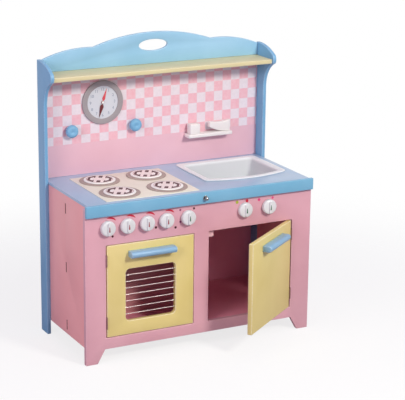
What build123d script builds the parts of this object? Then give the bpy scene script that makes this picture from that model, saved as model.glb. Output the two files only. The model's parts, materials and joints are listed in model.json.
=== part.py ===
from build123d import *
import math
import os

# A wooden toy kitchen: a cabinet with an oven and a cupboard, a counter with a hob and a sink,
# and a hutch above it with a splash panel, a shelf and a shaped crest.
# Millimetres, +Z up, +X to the right as one stands in front of it, +Y to the rear.
# The origin is on the floor under the middle of the box round the kitchen, cupboard door ajar.

# Board thicknesses
HUTCH_SIDE_T = 12.0
BACK_T = 10.0            # crest, splash panel and cabinet back
SHELF_T = 14.0
COUNTER_T = 9.0
FASCIA_T = 12.0
FRONT_T = 15.0           # front panel and both doors
PANEL_T = 12.0           # side panels, divider and floor
OVEN_BACK_T = 6.0

# Hob: four burners on a thin panel
BURNER_R = 63.5
BURNER_T = 2.5
BURNER_GAP_X = 33.0
BURNER_GAP_Y = 24.5
CAP_R = 50.0
CAP_T = 3.5
CAP_ROUND = 1.5
GRATE_R = 40.0
GRATE_SIDES = 8
GRATE_BAR = 6.5
GRATE_GAP = 16.0         # middle of a burner to the ends of the grate's side brackets
GRATE_FINGER_W = 10.0
GRATE_FINGER_L = 16.0
GRATE_FINGER_MID = 27.0  # middle of a burner to the middle of a finger
GRATE_TURN = -31.0       # degrees, seen from above
GRATE_T = 1.0
HOB_MARGIN_X = 11.5
HOB_MARGIN_FRONT = 9.0
HOB_MARGIN_BACK = 1.5
HOB_T = 2.0
HOB_SIDE_GAP = 69.0      # counter's left edge to the hob
HOB_FRONT_GAP = 14.5     # front panel's face to the hob
HOB_BACK_GAP = 42.0      # hob to the splash panel

# Sink: a lift-out basin with a bowed front, hung by its rim
SINK_W = 293.0
SINK_D = 216.0           # back edge to the front corners
SINK_BOW = 29.0
SINK_CORNER_R = 16.0
SINK_RIM = 19.0          # how far the rim lies over the counter
SINK_RIM_T = 4.0
SINK_DEPTH = 62.0        # counter top to the outside of the bowl's floor
SINK_DRAFT = 8.0         # degrees that the bowl narrows by on each side
SINK_WALL = 3.0
SINK_CLEARANCE = 1.0
SINK_SIDE_GAP = 24.5     # counter's right edge to the rim
SINK_BACK_GAP = 28.0     # splash panel to the rim
HOB_SINK_GAP = 64.5

# Counter and cabinet
COUNTER_HEIGHT = 503.5
FASCIA_H = 36.0
FRONT_OVERHANG = 9.0     # front panel and fascia past each counter end
STILE_W = 67.5           # outer edge of the front panel to an opening
MULLION_W = 50.0         # between the two openings
CONTROL_RAIL_H = 121.0   # openings up to the underside of the counter
OPENING_Z = 79.0         # floor to the foot of the openings
SKIRT_Z = 44.0           # floor to the lower edge of the front panel
FOOT_W = 38.5
FOOT_SPLAY = 25.0
SIDE_PANEL_Z = 46.5
OVEN_BACK_DEPTH = 152.0  # front panel's rear face to the oven back
OVEN_BACK_Z = 52.0
TAB_H = 32.0
TAB_FIT = 0.2
TAB_FOOT_INSET = 29.5    # side panel's foot to the middle of the lowest tab
TAB_TOP_INSET = 42.5     # side panel's top to the middle of the highest tab

# Hutch
POST_DEPTH = 52.0
SPLASH_H = 322.0
SHELF_DEPTH = 107.0
NOSE_PROUD = 3.0         # hutch side's nose past the shelf edge
NOSE_H = 27.0
NOSE_BULGE = 4.0
FLARE_H = 84.0
POST_RISE = 41.5         # shelf top to the hutch side's rear top corner
POST_CROWN = 8.5
SHOULDER_RISE = 39.5     # shelf top to the crest at the hutch sides
CUSP_RISE = 67.5
CREST_RISE = 102.0
CUSP_X = 207.0
SHOULDER_CROWN = 10.0
HAND_HOLE_W = 100.0
HAND_HOLE_H = 36.0
HAND_HOLE_DROP = 42.0    # crest top to the middle of the hand hole
DOWEL_R = 3.0
DOWEL_L = 22.0
DOWEL_DEPTH = 8.0        # in the hutch side
DOWEL_FIT = 0.05

# Clock, pegs and tap on the splash panel
CLOCK_X = -178.5
CLOCK_DROP = 95.5        # shelf underside to the middle of the clock
CLOCK_R = 70.0
CLOCK_RING_T = 6.0
DIAL_R = 52.5
DIAL_T = 3.0
CLOCK_PIN_R = 2.0
CLOCK_PIN_HEAD_R = 4.0
CLOCK_PIN_HEAD_T = 1.5
HAND_T = 1.0
HAND_GAP = 0.4
HAND_FIT = 0.05
HOUR_HAND_L = 46.0
HOUR_HAND_W = 10.5
HOUR_HAND_ANGLE = 18.0   # clockwise from twelve
MINUTE_HAND_L = 50.5
MINUTE_HAND_W = 12.5
MINUTE_HAND_ANGLE = 195.0
HAND_WAIST = 0.25        # share of a hand's length where it is widest
HAND_HUB_R = 5.0
PEG_SPREAD = 109.5       # each side of the clock
PEG_DROP = 177.0
PEG_R = 20.5
PEG_NECK_R = 11.0
PEG_L = 24.0
PEG_NECK_L = 6.0
TAP_W = 160.0
TAP_D = 34.0
TAP_T = 12.0
TAP_OFFSET = -17.5       # from the middle of the sink
TAP_RISE = 85.0          # counter top to the underside of the tap's slab
TAP_SCREW_STEP = 38.5    # from the slab's middle to its second screw
TAP_BLOCK_W = 36.0
TAP_BLOCK_D = 26.0
TAP_BLOCK_H = 33.0
TAP_BLOCK_INSET = 7.5
SPOUT_INSET = 16.0       # slab's right end to the spout's pivot
SPOUT_W = 24.0           # across its foot
SPOUT_D = 16.0
SPOUT_H = 37.0
SPOUT_L = 63.0           # pivot to the outlet
SPOUT_TIP_H = 18.0
SPOUT_SAG = 5.0          # dip of the spout's top
SPOUT_UNDER = 17.0       # clear height under the outlet
SPOUT_BELLY = 3.0        # swell of the spout's underside
SPOUT_PIN_R = 4.0
SPOUT_PIN_L = 8.0
SPOUT_PIN_FIT = 0.05
SPOUT_GAP = 0.3

# Control knobs
KNOB_R = 24.0
KNOB_T = 15.0
KNOB_FIN_W = 9.0
KNOB_FIN_L = 40.0
KNOB_FIN_H = 5.0
KNOB_ROUND = 4.0
KNOB_GAP = 0.3
KNOB_BORE_DEPTH = 11.0
KNOB_BOLT_R = 3.0
KNOB_BOLT_FIT = 0.05
KNOB_BOLT_HEAD_R = 6.0
KNOB_BOLT_HEAD_T = 3.0
KNOB_DROP = 75.0         # counter top to the knobs' axes
HOB_KNOBS = 4
HOB_KNOB_EDGE = 71.5     # front panel's left edge to the first hob knob
HOB_KNOB_PITCH = 64.7
OVEN_KNOB_STEP = 74.0    # last hob knob to the oven knob
SINK_KNOB_EDGE = 156.5   # front panel's right edge to the last knob
SINK_KNOB_PITCH = 85.0

# Doors
DOOR_GAP = 2.0
HINGE_GAP = 3.0          # door to opening on the hinge side
AJAR = 36.6              # degrees the cupboard door stands open
WINDOW_SIDE = 62.0       # door's edge to the window
WINDOW_BASE = 43.5       # door's foot to the window
WINDOW_DROP = 81.0       # door's top to the window
WINDOW_CORNER_R = 14.0
ROD_R = 1.2
ROD_COUNT = 7
ROD_SEAT = 8.0           # each rod end in the door
ROD_DEPTH = 6.0          # door's face to the rods' axes
ROD_FIT = 0.05
HANDLE_R = 10.0          # half the handle's height, and its rounded front
HANDLE_DEPTH = 30.0
HANDLE_L = 152.0
HANDLE_ROUND = 3.0
HANDLE_DROP = 32.5       # door's top to the middle of the handle
HANDLE_SCREW_SPREAD = 100.0

# Hinges, screws, stops and hook
HINGE_H = 37.0
HINGE_INSET = 46.5       # door's end to the middle of a hinge
HINGE_BARREL_R = 2.0
HINGE_FACE_GAP = 0.2
HINGE_PIN_R = 1.0
HINGE_PIN_FIT = 0.05
HINGE_LEAF_T = 1.2
HINGE_LEAF_MARGIN = 2.0  # leaf's rear edge to the rear of the door
KNUCKLE_GAP = 0.3
KNUCKLES = 3
HINGE_SCREW_SPREAD = 22.0
SCREW_R = 1.6
SCREW_FIT = 0.05
SCREW_HEAD_R = 3.5
SCREW_HEAD_T = 2.2
SCREW_BITE = 8.0         # screw length in the far piece
HINGE_SCREW_HEAD_R = 2.6
HINGE_SCREW_HEAD_T = 0.8
STOP_H = 24.0
STOP_D = 20.0
STOP_REACH = 24.0        # stop past the opening's edge
STOP_GAP = 0.5
MAGNET_R = 6.0
MAGNET_T = 4.0
STRIKE_T = 1.5
HOOK_X = 5.0
HOOK_BASE_R = 8.0
HOOK_BASE_T = 1.5
HOOK_STEM_R = 2.5
HOOK_STEM_L = 8.0
HOOK_BALL_R = 6.0

# Worked-out sizes
BURNER_PITCH_X = 2 * BURNER_R + BURNER_GAP_X
BURNER_PITCH_Y = 2 * BURNER_R + BURNER_GAP_Y
HOB_W = BURNER_PITCH_X + 2 * (BURNER_R + HOB_MARGIN_X)
HOB_D = BURNER_PITCH_Y + 2 * BURNER_R + HOB_MARGIN_FRONT + HOB_MARGIN_BACK
COUNTER_W = HOB_SIDE_GAP + HOB_W + HOB_SINK_GAP + SINK_W + SINK_SIDE_GAP
HALF = COUNTER_W / 2     # inner faces of the hutch sides, outer faces of the side panels
FRONT_HALF = HALF + FRONT_OVERHANG
BODY_DEPTH = HOB_FRONT_GAP + HOB_D + HOB_BACK_GAP + BACK_T
OPENING_W = (2 * FRONT_HALF - 2 * STILE_W - MULLION_W) / 2
UNDER_COUNTER = COUNTER_HEIGHT - COUNTER_T
OPENING_TOP = UNDER_COUNTER - CONTROL_RAIL_H
SHELF_Z = COUNTER_HEIGHT + SPLASH_H
SHELF_TOP = SHELF_Z + SHELF_T
CREST_TOP = SHELF_TOP + CREST_RISE
DOOR_W = OPENING_W - DOOR_GAP - HINGE_GAP
DOOR_Z = OPENING_Z + DOOR_GAP
DOOR_TOP = OPENING_TOP - DOOR_GAP
WINDOW_W = DOOR_W - 2 * WINDOW_SIDE
WINDOW_H = DOOR_TOP - DOOR_Z - WINDOW_BASE - WINDOW_DROP
HINGE_LEAF_W = FRONT_T - HINGE_LEAF_MARGIN
HINGE_PROUD = HINGE_BARREL_R + HINGE_FACE_GAP
KNOB_Z = COUNTER_HEIGHT - KNOB_DROP

# The ajar door sets how far the kitchen reaches to the front, and the origin halves its depth
DOOR_SWING = DOOR_W + HINGE_GAP / 2
AJAR_REACH = (HINGE_PROUD + DOOR_SWING * math.sin(math.radians(AJAR))
              - HINGE_PROUD * math.cos(math.radians(AJAR)))
REAR = (BODY_DEPTH + AJAR_REACH) / 2
FRONT = REAR - BODY_DEPTH
FRONT_BACK = FRONT + FRONT_T
SPLASH_FACE = REAR - BACK_T
FASCIA_FACE = FRONT - FASCIA_T
OVEN_BACK_FACE = FRONT_BACK + OVEN_BACK_DEPTH

HOB_X = -HALF + HOB_SIDE_GAP + HOB_W / 2
HOB_Y = FRONT + HOB_FRONT_GAP + HOB_D / 2
BURNERS_Y = HOB_Y + (HOB_MARGIN_FRONT - HOB_MARGIN_BACK) / 2
SINK_X = HALF - SINK_SIDE_GAP - SINK_W / 2
SINK_BACK = SPLASH_FACE - SINK_BACK_GAP
CLOCK_Z = SHELF_Z - CLOCK_DROP
PEG_Z = SHELF_Z - PEG_DROP
TAP_X = SINK_X + TAP_OFFSET
TAP_Z = COUNTER_HEIGHT + TAP_RISE
TAP_TOP = TAP_Z + TAP_T

STANDING = (Align.CENTER, Align.CENTER, Align.MIN)
HANGING = (Align.CENTER, Align.CENTER, Align.MAX)
TO_FRONT = (0, -1, 0)


def save(node, *solids):
    """Write one named sub-part, alone or as a group of separate solids."""
    shape = solids[0] if len(solids) == 1 else Compound(list(solids))
    export_step(shape, f"parts/{node}.step")


def block(x0, x1, y0, y1, z0, z1):
    """A square-edged board between two corners."""
    middle = Pos((x0 + x1) / 2, (y0 + y1) / 2, (z0 + z1) / 2)
    return middle * Box(abs(x1 - x0), abs(y1 - y0), abs(z1 - z0))


def face_plane(y):
    """A drawing plane that looks at the kitchen from the front: X across, Z up."""
    return Plane(origin=(0, y, 0), x_dir=(1, 0, 0), z_dir=TO_FRONT)


def upright_board(outline, y_face, thickness):
    """A board with an outline drawn from the front and its face at y_face."""
    return extrude(face_plane(y_face) * outline, amount=-thickness)


def rod(origin, direction, radius, length):
    """A round bar that starts at a point and runs along a direction."""
    return Plane(origin=origin, z_dir=direction) * Cylinder(radius, length, align=STANDING)


def screw(seat, direction, bite, head_r=SCREW_HEAD_R, head_t=SCREW_HEAD_T):
    """A screw with its head seated at a point and a shank of the given length."""
    head = Cylinder(head_r, head_t, align=HANGING)
    shank = Cylinder(SCREW_R, bite, align=STANDING)
    return Plane(origin=seat, z_dir=direction) * (head + shank)


def screw_hole(seat, direction, bite):
    """The hole that a screw's shank runs in."""
    return rod(seat, direction, SCREW_R + SCREW_FIT, bite + SCREW_FIT)


def sunk_screw(x, rear, z, through):
    """A screw sunk flush in a rear face, through one board and into the next, and its hole."""
    seat = (x, rear - SCREW_HEAD_T, z)
    bite = through - SCREW_HEAD_T + SCREW_BITE
    pocket = rod(seat, (0, 1, 0), SCREW_HEAD_R + SCREW_FIT, SCREW_HEAD_T)
    return screw(seat, TO_FRONT, bite), screw_hole(seat, TO_FRONT, bite) + pocket


os.makedirs("parts", exist_ok=True)

# Hutch sides: one board each from the floor to the crest, flared out to carry the shelf.
# A batten inside each, below the counter, lies in line with the side panel
nose_y = SHELF_DEPTH + NOSE_PROUD
nose_top = SHELF_Z + NOSE_H
post_top = SHELF_TOP + POST_RISE
side_outline = make_face([
    Line((0, 0), (-POST_DEPTH, 0)),
    Line((-POST_DEPTH, 0), (-POST_DEPTH, SHELF_Z - FLARE_H)),
    TangentArc((-POST_DEPTH, SHELF_Z - FLARE_H), (-nose_y, SHELF_Z), tangent=(0, 1)),
    SagittaArc((-nose_y, SHELF_Z), (-nose_y, nose_top), NOSE_BULGE),
    SagittaArc((-nose_y, nose_top), (0, post_top), POST_CROWN),
    Line((0, post_top), (0, 0)),
])
post_front = REAR - POST_DEPTH
panel_inner = HALF - PANEL_T
side_boards = {}
for side, sign in (("left", -1), ("right", 1)):
    outer = sign * (HALF + HUTCH_SIDE_T)
    plane = Plane(origin=(min(outer, sign * HALF), REAR, 0), x_dir=(0, 1, 0), z_dir=(1, 0, 0))
    batten = block(sign * panel_inner, sign * HALF, post_front, SPLASH_FACE, SIDE_PANEL_Z, UNDER_COUNTER)
    side_boards[side] = extrude(plane * side_outline, amount=HUTCH_SIDE_T) + batten

# Dowels that pin the shelf and the crest between the hutch sides
dowel_seats = [
    (REAR - SHELF_DEPTH / 4, SHELF_Z + SHELF_T / 2),
    (REAR - SHELF_DEPTH * 3 / 4, SHELF_Z + SHELF_T / 2),
    (REAR - BACK_T / 2, SHELF_TOP + SHOULDER_RISE / 2),
]
dowels = []
dowel_holes = []
for sign in (-1, 1):
    for y, z in dowel_seats:
        start = (sign * (HALF + DOWEL_DEPTH), y, z)
        dowels.append(rod(start, (-sign, 0, 0), DOWEL_R, DOWEL_L))
        hole_start = (sign * (HALF + DOWEL_DEPTH + DOWEL_FIT), y, z)
        hole_l = DOWEL_L + 2 * DOWEL_FIT
        dowel_holes.append(rod(hole_start, (-sign, 0, 0), DOWEL_R + DOWEL_FIT, hole_l))
save("hutch_dowels", *dowels)

# Crest: two shoulders that rise to cusps, a long arch between them and an oval hand hole
shoulder_z = SHELF_TOP + SHOULDER_RISE
cusp_z = SHELF_TOP + CUSP_RISE
crest_outline = make_face([
    Line((-HALF, SHELF_TOP), (HALF, SHELF_TOP)),
    Line((HALF, SHELF_TOP), (HALF, shoulder_z)),
    SagittaArc((HALF, shoulder_z), (CUSP_X, cusp_z), -SHOULDER_CROWN),
    ThreePointArc((CUSP_X, cusp_z), (0, CREST_TOP), (-CUSP_X, cusp_z)),
    SagittaArc((-CUSP_X, cusp_z), (-HALF, shoulder_z), -SHOULDER_CROWN),
    Line((-HALF, shoulder_z), (-HALF, SHELF_TOP)),
])
hand_hole = Pos(0, CREST_TOP - HAND_HOLE_DROP) * Ellipse(HAND_HOLE_W / 2, HAND_HOLE_H / 2)
crest = upright_board(crest_outline - hand_hole, SPLASH_FACE, BACK_T)
save("crest_board", crest - dowel_holes)

# Shelf under the crest
shelf = block(-HALF, HALF, REAR - SHELF_DEPTH, REAR, SHELF_Z, SHELF_TOP)
save("top_shelf", shelf - dowel_holes)

# Side panels of the cabinet, each held by two long screws through the batten behind it
side_screws = []
side_screw_holes = []
for sign in (-1, 1):
    for z in (SIDE_PANEL_Z + STILE_W, UNDER_COUNTER - STILE_W):
        fixing, hole = sunk_screw(sign * (HALF - PANEL_T / 2), SPLASH_FACE, z, SPLASH_FACE - post_front)
        side_screws.append(fixing)
        side_screw_holes.append(hole)
save("side_panel_screws", *side_screws)
for side in ("left", "right"):
    save(f"{side}_hutch_side", side_boards[side] - dowel_holes - side_screw_holes)

left_panel = block(-HALF, -panel_inner, FRONT_BACK, post_front, SIDE_PANEL_Z, UNDER_COUNTER)
right_panel = block(panel_inner, HALF, FRONT_BACK, post_front, SIDE_PANEL_Z, UNDER_COUNTER)

# Oven back: a thin board whose tabs pass through slots in the left side panel
oven_back_rear = OVEN_BACK_FACE + OVEN_BACK_T
oven_back = block(-panel_inner, -PANEL_T / 2, OVEN_BACK_FACE, oven_back_rear, OVEN_BACK_Z, UNDER_COUNTER)
low_tab = SIDE_PANEL_Z + TAB_FOOT_INSET
high_tab = UNDER_COUNTER - TAB_TOP_INSET
for z in (low_tab, (low_tab + high_tab) / 2, high_tab):
    tab_foot = z - TAB_H / 2
    tab_top = z + TAB_H / 2
    oven_back += block(-HALF, -panel_inner, OVEN_BACK_FACE, oven_back_rear, tab_foot, tab_top)
    left_panel -= block(-HALF, -panel_inner, OVEN_BACK_FACE - TAB_FIT, oven_back_rear + TAB_FIT,
                        tab_foot - TAB_FIT, tab_top + TAB_FIT)
save("oven_back", oven_back)
save("left_side_panel", left_panel - side_screw_holes)
save("right_side_panel", right_panel - side_screw_holes)

# Floor, divider and back of the cabinet
floor_z = OPENING_Z - PANEL_T
oven_floor = block(-panel_inner, -PANEL_T / 2, FRONT_BACK, OVEN_BACK_FACE, floor_z, OPENING_Z)
cupboard_floor = block(-PANEL_T / 2, panel_inner, FRONT_BACK, SPLASH_FACE, floor_z, OPENING_Z)
save("cabinet_floor", oven_floor + cupboard_floor)
save("centre_divider", block(-PANEL_T / 2, PANEL_T / 2, FRONT_BACK, SPLASH_FACE, OPENING_Z, UNDER_COUNTER))
save("cabinet_back", block(-HALF, HALF, SPLASH_FACE, REAR, SIDE_PANEL_Z, UNDER_COUNTER))

# Control knobs: turned discs with a grip fin, each on a bolt through the front panel
hob_knob_x = [-FRONT_HALF + HOB_KNOB_EDGE + i * HOB_KNOB_PITCH for i in range(HOB_KNOBS)]
oven_knob_x = hob_knob_x[-1] + OVEN_KNOB_STEP
sink_knob_x = [FRONT_HALF - SINK_KNOB_EDGE - SINK_KNOB_PITCH, FRONT_HALF - SINK_KNOB_EDGE]
knob_places = {f"hob_knob_{i + 1}": x for i, x in enumerate(hob_knob_x)}
knob_places["oven_knob"] = oven_knob_x
knob_places["sink_knob_left"] = sink_knob_x[0]
knob_places["sink_knob_right"] = sink_knob_x[1]
bolt_l = FRONT_T + KNOB_BORE_DEPTH
knob_bolts = []
bolt_holes = []
for node, x in knob_places.items():
    bolt_head = rod((x, FRONT_BACK, KNOB_Z), (0, 1, 0), KNOB_BOLT_HEAD_R, KNOB_BOLT_HEAD_T)
    knob_bolts.append(bolt_head + rod((x, FRONT_BACK, KNOB_Z), TO_FRONT, KNOB_BOLT_R, bolt_l))
    bolt_holes.append(rod((x, FRONT_BACK, KNOB_Z), TO_FRONT, KNOB_BOLT_R + KNOB_BOLT_FIT, FRONT_T))
    knob_y = FRONT - KNOB_GAP
    disc = rod((x, knob_y, KNOB_Z), TO_FRONT, KNOB_R, KNOB_T)
    disc = fillet(disc.edges().sort_by(Axis.Y)[0], KNOB_ROUND)
    fin_y = knob_y - KNOB_T - KNOB_FIN_H
    fin = block(x - KNOB_FIN_W / 2, x + KNOB_FIN_W / 2, fin_y, knob_y - KNOB_T / 2,
                KNOB_Z - KNOB_FIN_L / 2, KNOB_Z + KNOB_FIN_L / 2)
    bore = rod((x, knob_y, KNOB_Z), TO_FRONT, KNOB_BOLT_R + KNOB_BOLT_FIT, KNOB_BORE_DEPTH)
    save(node, disc + fin - bore)
save("knob_bolts", *knob_bolts)

# Front panel: two openings, and a foot at each end with a splayed inner edge
opening_x = MULLION_W / 2 + OPENING_W / 2
opening_mid_z = (OPENING_Z + OPENING_TOP) / 2
foot_top = FOOT_W + FOOT_SPLAY
panel_outline = make_face(Polyline(
    (-FRONT_HALF, 0), (-FRONT_HALF + FOOT_W, 0), (-FRONT_HALF + foot_top, SKIRT_Z),
    (FRONT_HALF - foot_top, SKIRT_Z), (FRONT_HALF - FOOT_W, 0), (FRONT_HALF, 0),
    (FRONT_HALF, UNDER_COUNTER), (-FRONT_HALF, UNDER_COUNTER), close=True))
for sign in (-1, 1):
    opening = Rectangle(OPENING_W, OPENING_TOP - OPENING_Z)
    panel_outline -= Pos(sign * opening_x, opening_mid_z) * opening
front_panel = upright_board(panel_outline, FRONT, FRONT_T) - bolt_holes

# Doors, hung on two butt hinges each. A door is drawn closed and then swung to where it stands
hinge_y = FRONT - HINGE_PROUD
knuckle_h = (HINGE_H - (KNUCKLES - 1) * KNUCKLE_GAP) / KNUCKLES


def hinge_leaf(wall_x, toward, axis_x, middle_z, knuckles):
    """A leaf flat on a wall at wall_x, on the side given by toward, with its share of the knuckles."""
    leaf_x = wall_x + toward * HINGE_LEAF_T
    foot_z = middle_z - HINGE_H / 2
    leaf = block(wall_x, leaf_x, FRONT, FRONT + HINGE_LEAF_W, foot_z, foot_z + HINGE_H)
    for i in knuckles:
        z = foot_z + i * (knuckle_h + KNUCKLE_GAP)
        leaf += block(wall_x, leaf_x, hinge_y, FRONT, z, z + knuckle_h)
        leaf += rod((axis_x, hinge_y, z), (0, 0, 1), HINGE_BARREL_R, knuckle_h)
    leaf -= rod((axis_x, hinge_y, foot_z), (0, 0, 1), HINGE_PIN_R + HINGE_PIN_FIT, HINGE_H)
    return leaf


def leaf_screws(leaf, wall_x, toward, middle_z):
    """Countersink a leaf, and give it with its screws and the holes that they run in."""
    screws = []
    holes = []
    seat_x = wall_x + toward * (HINGE_LEAF_T - HINGE_SCREW_HEAD_T)
    for z in (middle_z - HINGE_SCREW_SPREAD / 2, middle_z + HINGE_SCREW_SPREAD / 2):
        seat = (seat_x, FRONT + HINGE_LEAF_W / 2, z)
        bite = HINGE_LEAF_T - HINGE_SCREW_HEAD_T + SCREW_BITE
        screws.append(screw(seat, (-toward, 0, 0), bite, HINGE_SCREW_HEAD_R, HINGE_SCREW_HEAD_T))
        holes.append(screw_hole(seat, (-toward, 0, 0), bite))
        leaf -= rod(seat, (toward, 0, 0), HINGE_SCREW_HEAD_R + SCREW_FIT, HINGE_SCREW_HEAD_T)
    return leaf - holes, screws, holes


def door(name, frame_x, toward, swing, window):
    """One door with its hinges and handle; toward is the way that it runs from its hinges."""
    door_x = frame_x + toward * HINGE_GAP
    far_x = door_x + toward * DOOR_W
    axis_x = frame_x + toward * HINGE_GAP / 2
    middle_x = (door_x + far_x) / 2
    leaf_board = block(door_x, far_x, FRONT, FRONT_BACK, DOOR_Z, DOOR_TOP)
    moving = {}
    fixed = {"frame_leaves": [], "pins": [], "frame_screws": [], "frame_holes": []}

    door_leaves = []
    door_screws = []
    for z in (DOOR_Z + HINGE_INSET, DOOR_TOP - HINGE_INSET):
        leaf = hinge_leaf(frame_x, toward, axis_x, z, range(0, KNUCKLES, 2))
        leaf, screws, holes = leaf_screws(leaf, frame_x, toward, z)
        fixed["frame_leaves"].append(leaf)
        fixed["frame_screws"] += screws
        fixed["frame_holes"] += holes
        pin_foot = (axis_x, hinge_y, z - HINGE_H / 2)
        fixed["pins"].append(rod(pin_foot, (0, 0, 1), HINGE_PIN_R, HINGE_H))
        leaf = hinge_leaf(door_x, -toward, axis_x, z, range(1, KNUCKLES, 2))
        leaf, screws, holes = leaf_screws(leaf, door_x, -toward, z)
        door_leaves.append(leaf)
        door_screws += screws
        leaf_board -= holes
    moving["hinge_leaves"] = door_leaves
    moving["hinge_screws"] = door_screws

    # Handle: a bar flat on the door with a rounded front, held by two screws from the back of the door
    handle_z = DOOR_TOP - HANDLE_DROP
    handle_end = Plane(origin=(middle_x - HANDLE_L / 2, FRONT, handle_z), x_dir=TO_FRONT, z_dir=(1, 0, 0))
    flat_l = HANDLE_DEPTH - HANDLE_R
    bar_outline = make_face([
        Line((0, -HANDLE_R), (flat_l, -HANDLE_R)),
        ThreePointArc((flat_l, -HANDLE_R), (HANDLE_DEPTH, 0), (flat_l, HANDLE_R)),
        Line((flat_l, HANDLE_R), (0, HANDLE_R)),
        Line((0, HANDLE_R), (0, -HANDLE_R)),
    ])
    bar = extrude(handle_end * bar_outline, amount=HANDLE_L)
    bar_ends = bar.faces().filter_by(Axis.X).edges()
    bar = fillet(bar_ends.sort_by(Axis.Y)[:-2], HANDLE_ROUND)
    handle_screws = []
    for x in (middle_x - HANDLE_SCREW_SPREAD / 2, middle_x + HANDLE_SCREW_SPREAD / 2):
        seat = (x, FRONT_BACK, handle_z)
        hole = screw_hole(seat, TO_FRONT, FRONT_T + SCREW_BITE)
        handle_screws.append(screw(seat, TO_FRONT, FRONT_T + SCREW_BITE))
        leaf_board -= hole
        bar -= hole
    moving["handle"] = [bar]
    moving["handle_screws"] = handle_screws

    # Strike: a steel disc let into the back of the door, opposite the magnet
    strike_x = far_x - toward * (STOP_REACH / 2 - DOOR_GAP)
    strike_seat = (strike_x, FRONT_BACK - STRIKE_T, OPENING_TOP - STOP_H / 2)
    leaf_board -= rod(strike_seat, (0, 1, 0), MAGNET_R + SCREW_FIT, STRIKE_T)
    moving["strike"] = [rod(strike_seat, (0, 1, 0), MAGNET_R, STRIKE_T)]

    if window:
        window_mid = DOOR_Z + WINDOW_BASE + WINDOW_H / 2
        pane = Pos(middle_x, window_mid) * RectangleRounded(WINDOW_W, WINDOW_H, WINDOW_CORNER_R)
        leaf_board -= upright_board(pane, FRONT, FRONT_T)
        rods = []
        rod_l = WINDOW_W + 2 * ROD_SEAT
        for i in range(ROD_COUNT):
            z = window_mid - WINDOW_H / 2 + (i + 1) * WINDOW_H / (ROD_COUNT + 1)
            start = (middle_x - rod_l / 2, FRONT + ROD_DEPTH, z)
            rods.append(rod(start, (1, 0, 0), ROD_R, rod_l))
            wide = ROD_R + ROD_FIT
            long = rod_l / 2 + ROD_FIT
            leaf_board -= rod((middle_x - long, FRONT + ROD_DEPTH, z), (1, 0, 0), wide, 2 * long)
            leaf_board -= block(middle_x - long, middle_x + long, FRONT + ROD_DEPTH, FRONT_BACK,
                                z - wide, z + wide)
        moving["window_rods"] = rods
    moving["door"] = [leaf_board]

    pivot = Axis((axis_x, hinge_y, 0), (0, 0, 1))
    for piece, solids in moving.items():
        save(f"{name}_{piece}", *[solid.rotate(pivot, swing) for solid in solids])
    return fixed


oven = door("oven", -opening_x - OPENING_W / 2, 1, 0, True)
cupboard = door("cupboard", opening_x + OPENING_W / 2, -1, AJAR, False)
save("hinge_frame_leaves", *oven["frame_leaves"], *cupboard["frame_leaves"])
save("hinge_pins", *oven["pins"], *cupboard["pins"])
save("hinge_frame_screws", *oven["frame_screws"], *cupboard["frame_screws"])
save("front_panel", front_panel - oven["frame_holes"] - cupboard["frame_holes"])

# Door stops: a block behind each opening's top inner corner, with a magnet in its face
stops = []
magnets = []
for sign in (-1, 1):
    edge_x = sign * MULLION_W / 2
    stop_back = FRONT_BACK + STOP_D
    stop = block(sign * PANEL_T / 2, edge_x, FRONT_BACK, stop_back, OPENING_TOP - STOP_H, OPENING_TOP)
    stop += block(edge_x, edge_x + sign * STOP_REACH, FRONT_BACK + STOP_GAP, stop_back,
                  OPENING_TOP - STOP_H, OPENING_TOP)
    magnet_seat = (edge_x + sign * STOP_REACH / 2, FRONT_BACK + STOP_GAP, OPENING_TOP - STOP_H / 2)
    stops.append(stop - rod(magnet_seat, (0, 1, 0), MAGNET_R + SCREW_FIT, MAGNET_T))
    magnets.append(rod(magnet_seat, (0, 1, 0), MAGNET_R, MAGNET_T))
save("door_stops", *stops)
save("door_magnets", *magnets)

# Sink: a drafted bowl with a flat rim that hangs in the countertop, bowed out at the front
sink_left = SINK_X - SINK_W / 2
sink_right = SINK_X + SINK_W / 2
sink_front = SINK_BACK - SINK_D
sink_outline = make_face([
    Line((sink_left, sink_front), (sink_left, SINK_BACK)),
    Line((sink_left, SINK_BACK), (sink_right, SINK_BACK)),
    Line((sink_right, SINK_BACK), (sink_right, sink_front)),
    ThreePointArc((sink_right, sink_front), (SINK_X, sink_front - SINK_BOW), (sink_left, sink_front)),
])
sink_outline = fillet(sink_outline.vertices(), SINK_CORNER_R)
bowl_outline = offset(sink_outline, amount=-SINK_RIM)
bowl_inside = offset(sink_outline, amount=-SINK_RIM - SINK_WALL)
sink_hole = offset(sink_outline, amount=-SINK_RIM + SINK_CLEARANCE)
rim = extrude(Pos(0, 0, COUNTER_HEIGHT) * sink_outline, amount=SINK_RIM_T)
bowl = extrude(Pos(0, 0, COUNTER_HEIGHT) * bowl_outline, amount=-SINK_DEPTH, taper=SINK_DRAFT)
hollow_h = SINK_DEPTH - SINK_WALL + SINK_RIM_T
hollow_top = Pos(0, 0, COUNTER_HEIGHT + SINK_RIM_T) * bowl_inside
hollow = extrude(hollow_top, amount=-hollow_h, taper=SINK_DRAFT)
save("sink_basin", rim + bowl - hollow)

# Countertop and its fascia
countertop = block(-HALF, HALF, FRONT, REAR, UNDER_COUNTER, COUNTER_HEIGHT)
countertop -= extrude(Pos(0, 0, COUNTER_HEIGHT) * sink_hole, amount=-COUNTER_T)
save("countertop", countertop)
save("counter_fascia", block(-FRONT_HALF, FRONT_HALF, FASCIA_FACE, FRONT,
                             COUNTER_HEIGHT - FASCIA_H, COUNTER_HEIGHT))

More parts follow.
